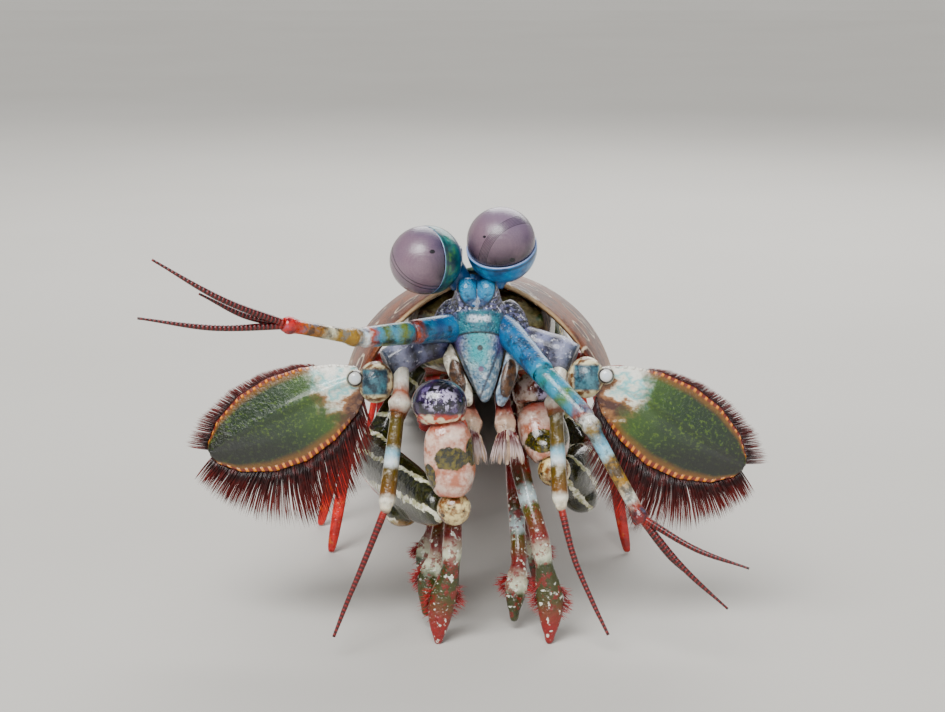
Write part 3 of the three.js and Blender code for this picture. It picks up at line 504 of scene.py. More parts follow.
# Eyes: glossy grey-mauve globes crossed by fine dark lines, with dark spots that look
# at the viewer. A ring is the lines' [x, z, radius] from the eye's centre, face on.
eyes = {
    "right": {"centre": (-5.9, -1.0, 41.0), "look": (-0.78, -0.6, -0.08), "seat": -0.1,
              "ring": (1.0, 1.5, 4.45), "bandHalf": 0.15, "lines": 1,
              "spots": [(0.95, -3.3, 0.75, 0.035)], "cup": 3.62, "cupBack": 0.55, "root": (-1.9, 1.3, 38.6)},
    "left": {"centre": (2.2, -1.0, 43.0), "look": (-0.1, -0.66, 0.74), "seat": -0.6,
             "ring": (3.2, -3.0, 5.25), "bandHalf": 0.42, "lines": 6,
             "spots": [(-1.75, -3.1, 0.3, 0.012), (1.15, -2.7, -2.1, 0.04)], "cup": 3.74, "cupBack": 0.85,
             "root": (1.3, 1.3, 38.6)},
    "radius": headFrame["eyeRadius"],
    "cupTones": {"left": ("#0b5f86", "#1f9cc4", "#5fbcd6"), "right": ("#0d4f58", "#2a8a86", "#6f9a5c")},
}


def eyeFinish(side):
    form = eyes[side]
    s = Surface("cornea" + side.title())
    x, y, z = s.headPlace()
    cx, cy, cz = form["centre"]
    dx, dy, dz = x - cx, y - cy, z - cz
    rx, rz, reach = form["ring"]
    across = ((dx - rx).square() + (dz - rz).square()).root() - reach
    lx, ly, lz = Vector(form["look"]).normalized()
    facing = dx * lx + dy * ly + dz * lz
    # painted shade: the globe's grey-mauve darkens towards its rim, where it sits in the cup
    color = s.ramp(facing / eyes["radius"], [(0.0, "#41363f"), (0.25, "#74656f"), (0.6, "#908089"),
                                             (1.0, "#9a8b96")])
    color = s.blend(s.mottle(2.6, 3, 0.5, 2).step(0.35, 0.7) * 0.5, color, "#a39098")
    # painted highlight: the globe is made paler and bluer towards its upper side
    color = s.blend((dz * 0.7 + dx * 0.5).step(-0.5, 3.2) * 0.4, color, "#8a86a0")
    half, lines = form["bandHalf"], form["lines"]
    for i in range(lines + 1):
        line = across.band(-half + i * 2 * half / lines, 0.03, 0.03)
        color = s.blend(line * dy.step(0.4, -0.4) * (1.0 if i in (0, lines) else 0.8), color, "#1c121e")
    for sx, sy, sz, size in form["spots"]:
        near = (dx - sx).square() + (dz - sz).square() * 1.8 + (dy - sy).square() * 0.1
        color = s.blend(near.step(size * 3.5, size * 1.4), color, "#030204")
    facets = s.cells(0.16, randomness=0.35)
    color = s.blend(facets.step(0.25, 0.6) * 0.15, color, "#4c4060")
    return s.close(color, 0.25, facets.step(0.0, 0.7), 0.015, coat=0.3, coatRough=0.15)


def cupFinish(side):
    s = Surface("eyeCup" + side.title())
    x, y, z = s.headPlace()
    cx, cy, cz = eyes[side]["centre"]
    lx, ly, lz = Vector(eyes[side]["look"]).normalized()
    facing = (x - cx) * lx + (y - cy) * ly + (z - cz) * lz - eyes[side]["seat"]
    deep, bright, pale = eyes["cupTones"][side]
    color = s.blend(s.mottle(1.6, 3, 0.5, 4).step(0.35, 0.7), deep, bright)
    color = s.blend(s.mottle(1.1, 3, 0.5, 8).step(0.54, 0.7) * 0.55, color, pale)
    color = s.blend(facing.step(-1.6, -3.0) * 0.7, color, "#0d6a9a")
    color = s.blend(facing.step(-0.14, -0.06), color, "#a9b6d4")
    color = s.blend(facing.band(-0.4, 0.14, 0.1) * 0.7, color, "#0c3a54")
    return s.close(color, 0.28, s.mottle(0.5, 4, 0.6), 0.08, coat=0.25)


def makeEyes():
    radius = eyes["radius"]
    for side in ("left", "right"):
        form, cap = eyes[side], side.title()
        look = headWays(*form["look"])
        centre = headPoint(*form["centre"])
        seat = centre + look * form["seat"] * mm
        globe = ball("globe" + cap, form["centre"], (radius,) * 3, form["look"], 96, 64)
        cut = {"plane_co": seat, "plane_no": look}
        inEdit(globe, lambda: bpy.ops.mesh.bisect(clear_inner=True, use_fill=True, **cut))
        dress(globe, eyeFinish(side), "cornea", "eye_" + side)
        globe.data.polygons.foreach_set("use_smooth", [len(p.vertices) < 5 for p in globe.data.polygons])
        turn = leanTurn.inverted() @ look
        cupAt = Vector(form["centre"]) - turn * form["cupBack"]
        cup = ball("cup" + cap, cupAt, (form["cup"],) * 3, form["look"], 80, 56)
        inEdit(cup, lambda: bpy.ops.mesh.bisect(clear_outer=True, **cut))
        applyModifier(cup, "SOLIDIFY", thickness=0.2 * mm, offset=-1.0)
        back = Vector(form["centre"]) - turn * 2.6
        middle = Vector(form["root"]).lerp(back, 0.5)
        neck = tube("neck" + cap, [(*form["root"], 1.25), (*middle, 1.45), (*back, 2.3)], 8, 7)
        finish = cupFinish(side)
        dress(cup, finish, "head_shell", "eye_stalk_" + side)
        dress(neck, finish, "head_shell")


makeEyes()
print("eyes ready")

# Head: blue eye-bearing lobes over a pale lip, with silvery membranes at the sides
def headFinish():
    s = Surface("headShell")
    x, _, z = s.headPlace()
    side = abs(x + 0.1)
    blue = s.blend(s.mottle(0.9, 5, 0.6, 1).step(0.35, 0.68), "#074a70", "#1583a8")
    # painted highlight: each blue lobe is paler at its middle, where light falls on the bulge
    for cx in (-1.4, 0.8):
        near = (x - cx).square() + (z - 37.9).square()
        blue = s.blend(near.step(1.9, 0.2) * 0.75, blue, "#2fa6c4")
    plate = s.blend(s.mottle(1.1, 4, 0.55, 5).step(0.35, 0.7), "#2a6f80", "#5d9aa2")
    # painted highlight: a silvery, broken patch at the upper middle of the plate
    gleam = side.step(1.5, 0.7) * z.band(34.9, 0.35, 0.2) * s.mottle(0.4, 4, 0.6, 2).step(0.35, 0.55)
    plate = s.blend(gleam, plate, "#dfe6ee")
    plate = s.blend(side.step(1.8, 2.8) * 0.8, plate, "#5f5c7c")
    lip = s.blend(s.mottle(0.7, 4, 0.6, 9).step(0.4, 0.7), "#7f97a8", "#cfd6da")
    lip = s.blend(side.step(1.6, 0.5) * z.step(28.8, 31.0) * 0.85, lip, "#4fb0b4")
    crease = abs(side - (z - 26.4) * 0.4).step(0.22, 0.04) * z.step(32.4, 31.4)
    lip = s.blend(crease * 0.75, lip, "#4a4652")
    lip = s.blend(side.step(1.2, 2.3) * z.step(30.2, 31.8) * 0.85, lip, "#6c5f92")
    for cx, cz, size, code in ((0.0, 31.8, 0.32, "#5a2f20"), (0.1, 29.6, 0.3, "#8b6f86")):
        near = (x - cx).square() + (z - cz).square()
        lip = s.blend(near.step(size * size * 1.4, size * size * 0.5) * 0.85, lip, code)
    arch = z + side.square() * 0.07
    color = s.blend(arch.step(33.3, 33.6), lip, plate)
    lobe = (x + 0.35).square() * 0.27 + (z - 38.3).square() * 0.19
    above = z.step(38.2, 38.8) * side.step(2.6, 2.1)
    inside = lobe.step(1.12, 0.96).atLeast(above)
    ridge = s.mottle(0.7, 5, 0.65, 12, (1, 1, 2.2))
    crinkle = s.blend(ridge.step(0.44, 0.58), "#23232f", "#8f90ac")
    crinkle = s.blend(s.mottle(0.4, 3, 0.5, 14).step(0.58, 0.66) * 0.8, crinkle, "#f0f0f4")
    outer = s.blend(s.mottle(1.2, 3).step(0.4, 0.6), "#cfc8ae", "#52705a")
    crinkle = s.blend(side.step(4.6, 6.2) * 0.8, crinkle, outer)
    foil = side.step(2.5, 3.1).atLeast(arch.step(35.6, 36.1))
    color = s.blend(foil, color, crinkle)
    color = s.blend(inside, color, blue)
    # painted shade: dark arcs under the two blue lobes and a dark line in the groove between them
    color = s.blend(lobe.band(1.05, 0.1, 0.12) * z.step(39.0, 38.2), color, "#06303f")
    color = s.blend(lobe.band(0.5, 0.06, 0.14) * z.step(38.0, 37.2) * 0.8, color, "#063a54")
    color = s.blend(abs(x + 0.35).step(0.14, 0.02) * z.band(37.6, 1.4, 0.5) * 0.8, color, "#063a54")
    color = s.blend(arch.band(33.45, 0.12, 0.1) * side.step(3.2, 2.8) * 0.9, color, "#1d2c34")
    reach = z.step(36.0, 35.4) * (z.step(30.2, 32.6) * 0.8 + 0.2)
    specks = s.mottle(0.28, 3, 0.6, 3).step(0.6, 0.68) * reach
    color = s.blend(specks * 0.8, color, "#33222c")
    height = s.mottle(0.45, 5, 0.65) + ridge * side.step(2.6, 3.4) * 2.2 + s.cells(0.4).step(0, 0.5) * 0.5
    return s.close(color, 0.34, height, 0.22, coat=0.5, scatter=0.1)


def makeHead():
    dress(skinOf("head", "headSkin", 1, 0.13, 6, 0.05), headFinish(), "head_shell", "head")
    s = Surface("browPlate")
    color = s.blend(s.mottle(0.8, 4, 0.6).step(0.4, 0.7), "#2d5a63", "#a9b39a")
    plate = s.close(color, 0.35, s.mottle(0.4, 4), 0.1, coat=0.5)
    dress(skinOf("rostral_plate", "browPlate", 1, 0.12, 4, 0.05), plate, "head_shell", "rostral_plate")


makeHead()
print("head ready")

# Antennules: banded stems of three segments with three ringed red whips each.
# Stops are [x, y, z, radius] in the head's frame.
antennules = {
    "right": {
        "stem": [(-1.9, 1.7, 33.9, 1.45), (-3.4, 0.5, 33.85, 1.5), (-6.6, -2.4, 33.5, 1.3),
                 (-7.2, -2.9, 33.42, 1.02), (-7.9, -3.5, 33.3, 1.2), (-11.6, -6.5, 32.9, 1.08),
                 (-12.3, -7.1, 32.8, 0.84), (-13.0, -7.9, 32.9, 1.0), (-14.2, -9.2, 33.1, 0.74),
                 (-17.9, -13.2, 33.8, 0.7), (-19.0, -14.4, 34.0, 0.92), (-19.5, -14.9, 34.05, 0.7)],
        "bands": [(0, "#1b5f8a"), (2.2, "#2f86a8"), (4.4, "#1a5c82"), (5.6, "#2f86a0"), (6.4, "#b0682c"),
                  (7.0, "#8a4a1e"), (7.7, "#4f8a98"), (8.6, "#7f8a48"), (9.8, "#7fb0c0"), (10.7, "#7a8442"),
                  (11.8, "#6fa2b6"), (12.6, "#b4682a"), (13.5, "#dfe3e4"), (14.6, "#a58a34"),
                  (17.2, "#b49a46"), (18.4, "#e4e2cf"), (19.4, "#a88630"), (21.4, "#b8892f"),
                  (22.6, "#cf7026"), (23.6, "#c2521c")],
        "whips": [(-31.6, -22.5, 40.2), (-33.2, -21.0, 34.6), (-27.4, -19.5, 37.0)],
    },
    "left": {
        "stem": [(1.9, 2.0, 34.5, 1.45), (3.2, 0.4, 33.2, 1.5), (6.2, -3.4, 29.6, 1.3),
                 (6.6, -3.9, 29.1, 1.02), (7.1, -4.2, 28.5, 1.2), (10.4, -6.1, 25.1, 1.1),
                 (10.9, -6.4, 24.5, 0.86), (11.5, -6.6, 23.6, 1.02), (12.2, -6.8, 22.2, 0.76),
                 (15.6, -7.8, 15.9, 0.7), (16.3, -8.0, 14.6, 0.9), (16.6, -8.1, 14.0, 0.7)],
        "bands": [(0, "#175a84"), (3.4, "#2c80a4"), (6.0, "#2f8cb0"), (7.6, "#1f7096"), (8.9, "#4f9ab4"),
                  (10.2, "#4f8f8a"), (11.6, "#6aa6bc"), (13.0, "#6f8a52"), (14.4, "#6ea4b8"),
                  (15.4, "#9a5a26"), (16.2, "#e2e4e0"), (17.4, "#94803a"), (19.4, "#9cc4d4"),
                  (20.2, "#b9d4dc"), (21.2, "#9a8236"), (23.6, "#a88c3a"), (25.6, "#dfe0d6"),
                  (26.6, "#9a5424"), (27.6, "#8a3420")],
        "whips": [(27.0, -12.0, 9.6), (25.0, -10.5, 5.4), (22.0, -9.0, 8.0)],
    },
}


def whipFinish(name, light, dark):
    s = Surface(name)
    run = s.reading("along")
    rings = (run * 14.0).sine()
    color = s.blend(rings.step(-0.4, 0.6), dark, light)
    color = s.blend(run.step(2.0, 0.0), color, "#b5561f")
    return s.close(color, 0.35, rings, 0.05, coat=0.4)


def makeAntennules():
    whipMaterial = whipFinish("antennuleWhip", "#8a1f1c", "#4a0e18")
    for side, form in antennules.items():
        cap = side.title()
        finish = limbFinish("antennuleBands" + cap, form["bands"], "#6f9cb4", "#14283a", 0.4, 0.75, 1.3,
                            2 if side == "left" else 5)
        limb("antennule" + cap, form["stem"], 8, 7, finish, "antennule_" + side)
        ex, ey, ez = form["stem"][-2][:3]
        for i, tip in enumerate(form["whips"]):
            middle = [(a + b) / 2 for a, b in zip((ex, ey, ez), tip)]
            bent = (middle[0], middle[1] + (i - 1) * 0.8, middle[2] - 0.6, 0.31)
            limb(f"whip{cap}{i + 1}", [(ex, ey, ez, 0.4), bent, (*tip, 0.13)], 24, 2, whipMaterial)


makeAntennules()
print("antennules ready")

# Antennae: a silvery arm and a bossed block that carry the scale, a banded stem and a whip
antennae = {
    "right": {
        "block": (-11.0, 0.0, 28.2), "boss": (-13.1, -1.0, 28.6),
        "arm": [(-3.4, 3.1, 32.7, 1.5), (-4.9, 2.4, 32.3, 1.75), (-6.6, 1.8, 31.6, 1.6),
                (-8.0, 1.3, 31.0, 1.85), (-9.8, 0.8, 30.1, 1.6)],
        "stem": [(-8.3, 0.6, 29.9, 0.8), (-8.3, -0.7, 27.2, 0.85), (-8.4, -1.1, 26.0, 1.25),
                 (-8.6, -1.2, 25.0, 0.95), (-8.7, -1.3, 24.4, 0.75), (-9.2, -1.7, 20.2, 0.8),
                 (-9.7, -2.05, 16.2, 0.88), (-9.85, -2.2, 15.1, 0.62), (-9.95, -2.25, 14.5, 0.42)],
        "whip": [(-9.9, -2.2, 15.0, 0.4), (-11.8, -2.9, 10.2, 0.33), (-13.8, -3.4, 5.4, 0.26),
                 (-15.2, -3.7, 1.8, 0.17)],
    },
    "left": {
        "block": (11.2, 0.4, 28.7), "boss": (13.2, -0.9, 28.9),
        "arm": [(3.4, 3.1, 32.7, 1.5), (5.0, 2.6, 32.4, 1.75), (6.8, 2.0, 32.0, 1.6), (8.2, 1.6, 31.4, 1.85),
                (9.9, 1.2, 30.7, 1.6)],
        "stem": [(8.7, 1.4, 30.3, 0.8), (8.1, 0.6, 27.3, 0.85), (8.0, 0.3, 26.0, 1.25),
                 (8.0, 0.2, 25.0, 0.95), (8.05, 0.15, 24.4, 0.75), (8.2, -0.2, 20.4, 0.8),
                 (8.4, -0.5, 16.4, 0.88), (8.5, -0.6, 15.3, 0.62), (8.55, -0.62, 14.7, 0.42)],
        "whip": [(8.5, -0.6, 15.2, 0.4), (9.8, -1.2, 10.0, 0.33), (11.6, -1.6, 5.6, 0.26),
                 (13.4, -1.9, 1.8, 0.17)],
    },
    "stemBands": [(0, "#d9d6cc"), (2.0, "#e9e6de"), (3.2, "#a8705a"), (4.3, "#e4e0d6"), (5.2, "#8c5a34"),
                  (6.0, "#6f6428"), (8.8, "#857434"), (9.6, "#a9c9d6"), (10.6, "#e3eaec"), (11.4, "#7d6f30"),
                  (13.8, "#8a6a2c"), (14.6, "#eceae0"), (15.4, "#e3dccb"), (16.0, "#7a4320")],
}


def armFinish():
    s = Surface("antennaArm")
    run = s.reading("along") + (s.mottle(1.0, 3) - 0.5) * 1.2
    color = s.ramp(run / 7.2, [(0, "#34304a"), (0.2, "#7a7c9c"), (0.35, "#2a2440"), (0.5, "#9a9db4"),
                               (0.65, "#332e4a"), (0.82, "#aeb0c2"), (1, "#34465c")])
    ridge = s.mottle(0.6, 5, 0.65, 3)
    color = s.blend(ridge.step(0.58, 0.68) * 0.7, color, "#e6e6ec")
    color = s.blend(s.mottle(0.9, 4, 0.6, 9).step(0.5, 0.64) * 0.7, color, "#2c2840")
    return s.close(color, 0.33, ridge, 0.2, coat=0.5, scatter=0.1)


def blockFinish(side):
    s = Surface("antennaBlock" + side.title())
    x, _, z = s.headPlace()
    cx, _, cz = antennae[side]["block"]
    away = abs(x - cx).atLeast(abs(z - cz))
    color = s.blend(s.mottle(0.9, 4).step(0.4, 0.65), "#34505e", "#6f96a0")
    rim = s.blend(s.mottle(0.8, 3, 0.5, 4).step(0.42, 0.6), "#e6ddc2", "#8a6a4a")
    color = s.blend(away.step(1.15, 1.55), color, rim)
    color = s.blend(s.mottle(0.4, 3, 0.5, 8).step(0.6, 0.68) * 0.5, color, "#3f4e5e")
    return s.close(color, 0.32, s.mottle(0.5, 4, 0.6) + away.step(1.0, 1.6), 0.18, coat=0.5)


def bossFinish(side):
    s = Surface("scaleBoss" + side.title())
    x, _, z = s.headPlace()
    cx, _, cz = antennae[side]["boss"]
    away = (x - cx).square() + (z - cz).square()
    color = s.ramp(away / 1.2, [(0.0, "#dfe4e8"), (0.3, "#e8e8e4"), (0.4, "#5a4a48"), (0.5, "#3a2e30"),
                                (0.65, "#b9b2a0"), (1, "#cfc9b4")])
    return s.close(color, 0.25, away.step(0.9, 0.2), 0.15, coat=0.7)


def makeAntennae():
    arm = armFinish()
    bands = antennae["stemBands"]
    stemMaterial = limbFinish("antennaBands", bands, "#f0ece0", "#4c3a14", 0.35, 0.35, 0.45, 9)
    whipMaterial = whipFinish("antennaWhip", "#93251c", "#5a1018")
    for side in ("right", "left"):
        form, cap = antennae[side], side.title()
        limb("antennaArm" + cap, form["arm"], 8, 7, arm, "antenna_" + side)
        block = ball("antennaBlock" + cap, form["block"], (1.95, 2.0, 2.2))
        inEdit(block, lambda: bpy.ops.transform.tosphere(value=-0.25))
        dress(block, blockFinish(side), "feelers")
        boss = ball("scaleBoss" + cap, form["boss"], (0.95, 0.8, 0.95), segments=32, rings=20)
        dress(boss, bossFinish(side), "feelers")
        limb("antennaStem" + cap, form["stem"], 8, 6, stemMaterial)
        limb("antennaWhip" + cap, form["whip"], 24, 2, whipMaterial)


makeAntennae()
print("antennae ready")

# Antennal scales: thin green blades with an orange beaded edge and a maroon fringe.
# Edges are [share of the length, reach above, reach below].
scales = {
    "right": {"root": (-12.4, -0.5, 28.7), "aim": (-14.2, 2.2, -7.0)},
    "left": {"root": (12.7, -0.1, 28.8), "aim": (14.0, 2.4, -8.8)},
    "length": 18.2, "thick": 0.62,
    "edges": [(0, 1.3, 1.4), (0.12, 2.6, 3.2), (0.3, 3.85, 4.6), (0.5, 4.4, 5.3), (0.7, 4.05, 4.8),
              (0.88, 2.7, 3.3), (0.98, 1.0, 1.4), (1.0, 0.3, 0.4)],
    "below": [(0.0, 2.5), (0.1, 4.6), (0.25, 6.6), (0.55, 7.0), (0.8, 4.8), (1, 2.9)],
    "above": [(0.1, 0.4), (0.3, 0.9), (0.7, 1.3), (1, 2.5)],
    "lean": [(0, 0.1), (0.6, 0.3), (1, 2.2)], "leanAbove": [(0, 0.6), (0.7, 0.6), (1, 1.6)],
}


def along(stops, at, column=1):
    return float(np.interp(at, [s[0] for s in stops], [s[column] for s in stops]))


def scaleFrame(side):
    start = headPoint(*scales[side]["root"])
    aim = headWays(*scales[side]["aim"])
    wide = aim.cross(headWays(0, -1, 0)).normalized()
    if wide.z < 0:
        wide.negate()
    return start, aim * scales["length"] * mm, wide, aim.cross(wide).normalized()


def scaleFinish(side):
    s = Surface("scaleBlade" + side.title())
    u, v, _ = s.parts(s.node("ShaderNodeUVMap", {"uv_map": "bladeMap"}))
    edge = abs(v - 0.5) * 2.0
    grain = s.mottle(1.3, 6, 0.65, 3)
    color = s.ramp(u + (grain - 0.5) * 0.3, [(0.1, "#8a9a5e"), (0.25, "#55702c"), (0.5, "#2f4a17"),
                                             (0.8, "#2a3f12"), (1, "#3c3a12")])
    color = s.blend(s.mottle(0.35, 3, 0.6, 6).step(0.5, 0.72) * 0.55, color, "#7f9438")
    dark = (u - v * 0.9).step(0.15, 0.5) * edge.step(0.97, 0.6)
    color = s.blend(dark * 0.8, color, "#0c150a")
    color = s.blend(edge.step(0.7, 0.86) * 0.8, color, "#8c6a22")
    beads = (u * 150.0).sine().step(-0.2, 0.7)
    color = s.blend(edge.step(0.86, 0.93), color, s.blend(beads, "#8a4a14", "#e0a53a"))
    color = s.blend(edge.step(0.955, 0.985) * v.step(0.5, 0.6), color, "#6a1418")
    swirl = s.mottle(2.4, 4, 0.55, 8, (1, 1, 1.6)) + (v - 0.5) * 0.5
    base = s.ramp(swirl, [(0.3, "#5f3a22"), (0.42, "#a9876a"), (0.5, "#eceadf"), (0.6, "#a5cfcf"),
                          (0.7, "#f0efe8")])
    color = s.blend((u + (grain - 0.5) * 0.25 + edge * 0.06).step(0.34, 0.2), color, base)
    height = grain * 0.7 + s.mottle(0.3, 4, 0.6) * 0.6 + beads * edge.step(0.86, 0.93) * 0.8
    return s.close(color, 0.28, height, 0.14, coat=0.6)


def makeScales():
    hairMaterial = setaFinish("scaleFringe", "#3a0d12", "#8a4440")
    for side in ("right", "left"):
        start, aim, wide, out = scaleFrame(side)
        if out.y < 0:
            out.negate()
        bpy.ops.mesh.primitive_grid_add(x_subdivisions=90, y_subdivisions=44, size=2, calc_uvs=True)
        blade = bpy.context.object
        blade.name = "scaleBlade" + side.title()
        blade.data.uv_layers[0].name = "bladeMap"
        for vertex in blade.data.vertices:
            share, across = (vertex.co.x + 1) / 2, vertex.co.y
            reach = along(scales["edges"], share, 1 if across > 0 else 2)
            bulge = 0.7 * math.cos(across * math.pi / 2) * min(1, share * 4) * (1 - 0.5 * share)
            bulge += 0.35 * math.exp(-((across - 0.15) / 0.12) ** 2) * (1 - share)
            vertex.co = start + aim * share + wide * across * reach * mm - out * bulge * mm
        blade.matrix_world = Matrix.Identity(4)
        applyModifier(blade, "SOLIDIFY", thickness=scales["thick"] * mm * 0.6, offset=0.0)
        inEdit(blade, lambda: bpy.ops.mesh.normals_make_consistent(inside=False))
        dress(blade, scaleFinish(side), "scale_blade", "antennal_scale_" + side)
        ahead = aim.normalized()
        hairs = []
        for where, count, sign in (("below", 620, -1), ("above", 360, 1)):
            for i in range(count):
                share = 0.2 + 0.795 * i / count
                if where == "below":
                    share = min(0.995, 0.04 + 0.955 * (i / count) ** 0.9)
                reach = along(scales["edges"], share, 1 if sign > 0 else 2) - 0.3
                lean = along(scales["lean" if sign < 0 else "leanAbove"], share)
                lie = (wide * sign + ahead * lean).normalized()
                root = start + aim * share + wide * sign * reach * mm + out * random.uniform(-0.1, 0.18) * mm
                length = along(scales[where], share) * random.uniform(0.86, 1.06) + 0.3
                tip = root + (lie + ahead * random.uniform(-0.05, 0.05)).normalized() * length * mm
                tip += out * random.uniform(-0.25, 0.35) * length * 0.12 * mm
                bow = (out * random.uniform(-0.03, 0.06) + ahead * 0.04) * length * mm
                hairs.append((root, tip, bow, random.uniform(0.05, 0.085) * mm, share, 0.5 + sign * 0.47))
        dress(setae("scaleFringe" + side.title(), hairs), hairMaterial, "scale_blade")


makeScales()
print("scales ready")

# Mouth: white petal-shaped jaws with brown centres, and a red brush with white tips
mouth = {
    "brushTips": {"right": (-1.05, -0.7, 22.3), "left": (2.85, -0.7, 22.3)}, "hairs": 90, "length": 2.9,
    "armBands": [(0, "#5a1a12"), (5, "#8a3a20"), (8, "#c9b8a8"), (12, "#8f3a1c")],
    "jawTones": {"left": ("#8fa0b0", "#dfe6ea"), "right": ("#b9b4a8", "#efece2")},
}


def jawFinish(side):
    s = Surface("jaw" + side.title())
    x, _, z = s.headPlace()
    sign = 1 if side == "left" else -1
    inner = abs(x - 0.3 - sign * 2.75 - (z - 29.0) * (0.16 * sign)) / 0.85
    rise = (z - 28.6) / 2.1
    loop = inner.square() + rise.square() + (s.mottle(1.2, 3, 0.5, 2) - 0.5) * 0.5
    color = s.blend(s.mottle(0.8, 4).step(0.4, 0.65), *mouth["jawTones"][side])
    brown = s.blend(s.mottle(0.6, 3, 0.5, 4).step(0.4, 0.6), "#33241a", "#6e5236")
    color = s.blend(loop.step(1.1, 0.8), color, brown)
    color = s.blend(s.mottle(0.7, 4, 0.6, 9).step(0.54, 0.64) * 0.7, color, "#5a4030")
    return s.close(color, 0.32, s.mottle(0.4, 4) + loop.step(0.7, 1.1) * 1.5, 0.18, coat=0.4, scatter=0.06)


def makeMouth():
    hairMaterial = setaFinish("mouthBrush", "#7a2416", "#f1e6e4", 3)
    armMaterial = limbFinish("mouthArm", mouth["armBands"], "#e9dcd6", "#4a1410", 0.5)
    for side, tip in mouth["brushTips"].items():
        jaw = skinOf("mandible_" + side, "jaw" + side.title(), 1, 0.12, 6, 0.08)
        dress(jaw, jawFinish(side), "jaws", "mandible_" + side)
        arm = skinOf("maxilliped_1_" + side, "mouthArm" + side.title(), 0, 0.12, 5, 0.05)
        markAlong(arm, [headPoint(tip[0], 6, 27), headPoint(*tip)])
        dress(arm, armMaterial, "mouth_limbs", "maxilliped_1_" + side)
        hairs = []
        for _ in range(mouth["hairs"]):
            dx, dy = random.uniform(-1.15, 1.15), random.uniform(-0.6, 0.5)
            root = headPoint(tip[0] + dx * 0.8, tip[1] + dy, tip[2] + 1.0 - abs(dx) * 0.4)
            ways = headWays(dx * 0.3, dy * 0.4 - 0.1, -1)
            length = mouth["length"] * random.uniform(0.75, 1.1) + 0.6
            bow = headWays(dx, -0.3, 0) * 0.12 * mm
            hairs.append((root, root + ways * length * mm, bow, 0.09 * mm, 0.5 + dx * 0.1, 0.5 + dy * 0.1))
        dress(setae("mouthBrush" + side.title(), hairs), hairMaterial, "mouth_limbs")


makeMouth()
print("mouth ready")

# Striking limbs: a dark dome-heeled club folded over a pale palm, on an olive thigh
# Places are the heel's middle and the palm's top in the head's frame.
clubs = {
    "right": {"heel": (-4.2, -6.2, 26.1), "palmTop": (-3.4, -6.0, 23.4)},
    "left": {"heel": (5.9, 6.0, 27.0), "palmTop": (6.2, 5.2, 25.0)},
    "pieces": [("merus", "thigh", "claw_shell"), ("carpus", "wrist", "claw_shell"),
               ("propodus", "palm", "claw_shell"), ("dactyl", "club", "club")],
}


def clubFinish(side):
    s = Surface("club" + side.title())
    x, _, z = s.headPlace()
    hx, _, hz = clubs[side]["heel"]
    height = z - hz + (s.mottle(1.5, 3) - 0.5) * 0.9
    color = s.blend(s.mottle(1.2, 5, 0.65, 3).step(0.42, 0.62), "#140c1c", "#4a3560")
    color = s.blend(s.mottle(0.8, 5, 0.7, 7).step(0.58, 0.66) * 0.7, color, "#8f84a6")
    centre = (x - hx).square() * 0.5 + (z - hz - 0.4).square()
    glints = s.mottle(0.7, 5, 0.75, 13).step(0.5, 0.56) * centre.step(2.4, 0.6)
    color = s.blend(glints * 0.95, color, "#cfc8dc")
    rim = s.blend(s.mottle(0.9, 3, 0.5, 9).step(0.42, 0.58), "#c46a2c", "#ece2cc")
    color = s.blend(height.step(-0.9, -1.5), color, rim)
    blade = s.blend(s.mottle(0.8, 3).step(0.4, 0.6), "#3a0f18", "#7a2430")
    color = s.blend(height.step(-2.2, -2.8), color, blade)
    if side == "left":
        pale = s.blend(s.mottle(1.1, 4, 0.6, 2).step(0.42, 0.58), "#a06a52", "#eadbd0")
        color = s.blend(0.8 * (x - hx).step(0.6, -0.4), color, pale)
    return s.close(color, 0.14, s.mottle(0.6, 4), 0.1, coat=0.9)


def palmFinish(side):
    s = Surface("palm" + side.title())
    x, _, z = s.headPlace()
    hx, _, hz = clubs[side]["palmTop"]
    color = s.blend(s.mottle(1.6, 4, 0.6, 5).step(0.38, 0.66), "#b98a78", "#e6d6cc")
    olive = s.blend(s.mottle(0.5, 4, 0.6, 8).step(0.4, 0.65), "#3b3a18", "#7d7440")
    for dx, dz, wide, tall in ((0.4, -3.0, 2.0, 1.3), (2.6, -2.2, 0.8, 1.6), (-1.9, -5.0, 0.8, 1.6)):
        near = ((x - hx - dx) / wide).square() + ((z - hz - dz) / tall).square()
        near = near + (s.mottle(0.9, 4, 0.6, 11) - 0.5) * 1.3
        color = s.blend(near.step(1.0, 0.75), color, olive)
    low = (z - hz) + (s.mottle(1.0, 3, 0.5, 3) - 0.5) * 1.0
    color = s.blend(low.step(-6.4, -7.2) * 0.9, color, "#c9742a")
    color = s.blend(low.step(-0.2, 0.6) * 0.7, color, "#b0583a")
    height = s.mottle(0.7, 4) + s.cells(0.4).step(0, 0.5) * 0.3
    return s.close(color, 0.24, height, 0.12, coat=0.75, scatter=0.2)


def wristFinish():
    s = Surface("wristShell")
    color = s.blend(s.mottle(1.0, 4, 0.6, 6).step(0.38, 0.62), "#8a6420", "#e8dcb8")
    color = s.blend(s.mottle(0.9, 4, 0.6, 12).step(0.55, 0.66) * 0.9, color, "#4a3c14")
    return s.close(color, 0.25, s.mottle(0.5, 4), 0.12, coat=0.7, scatter=0.1)


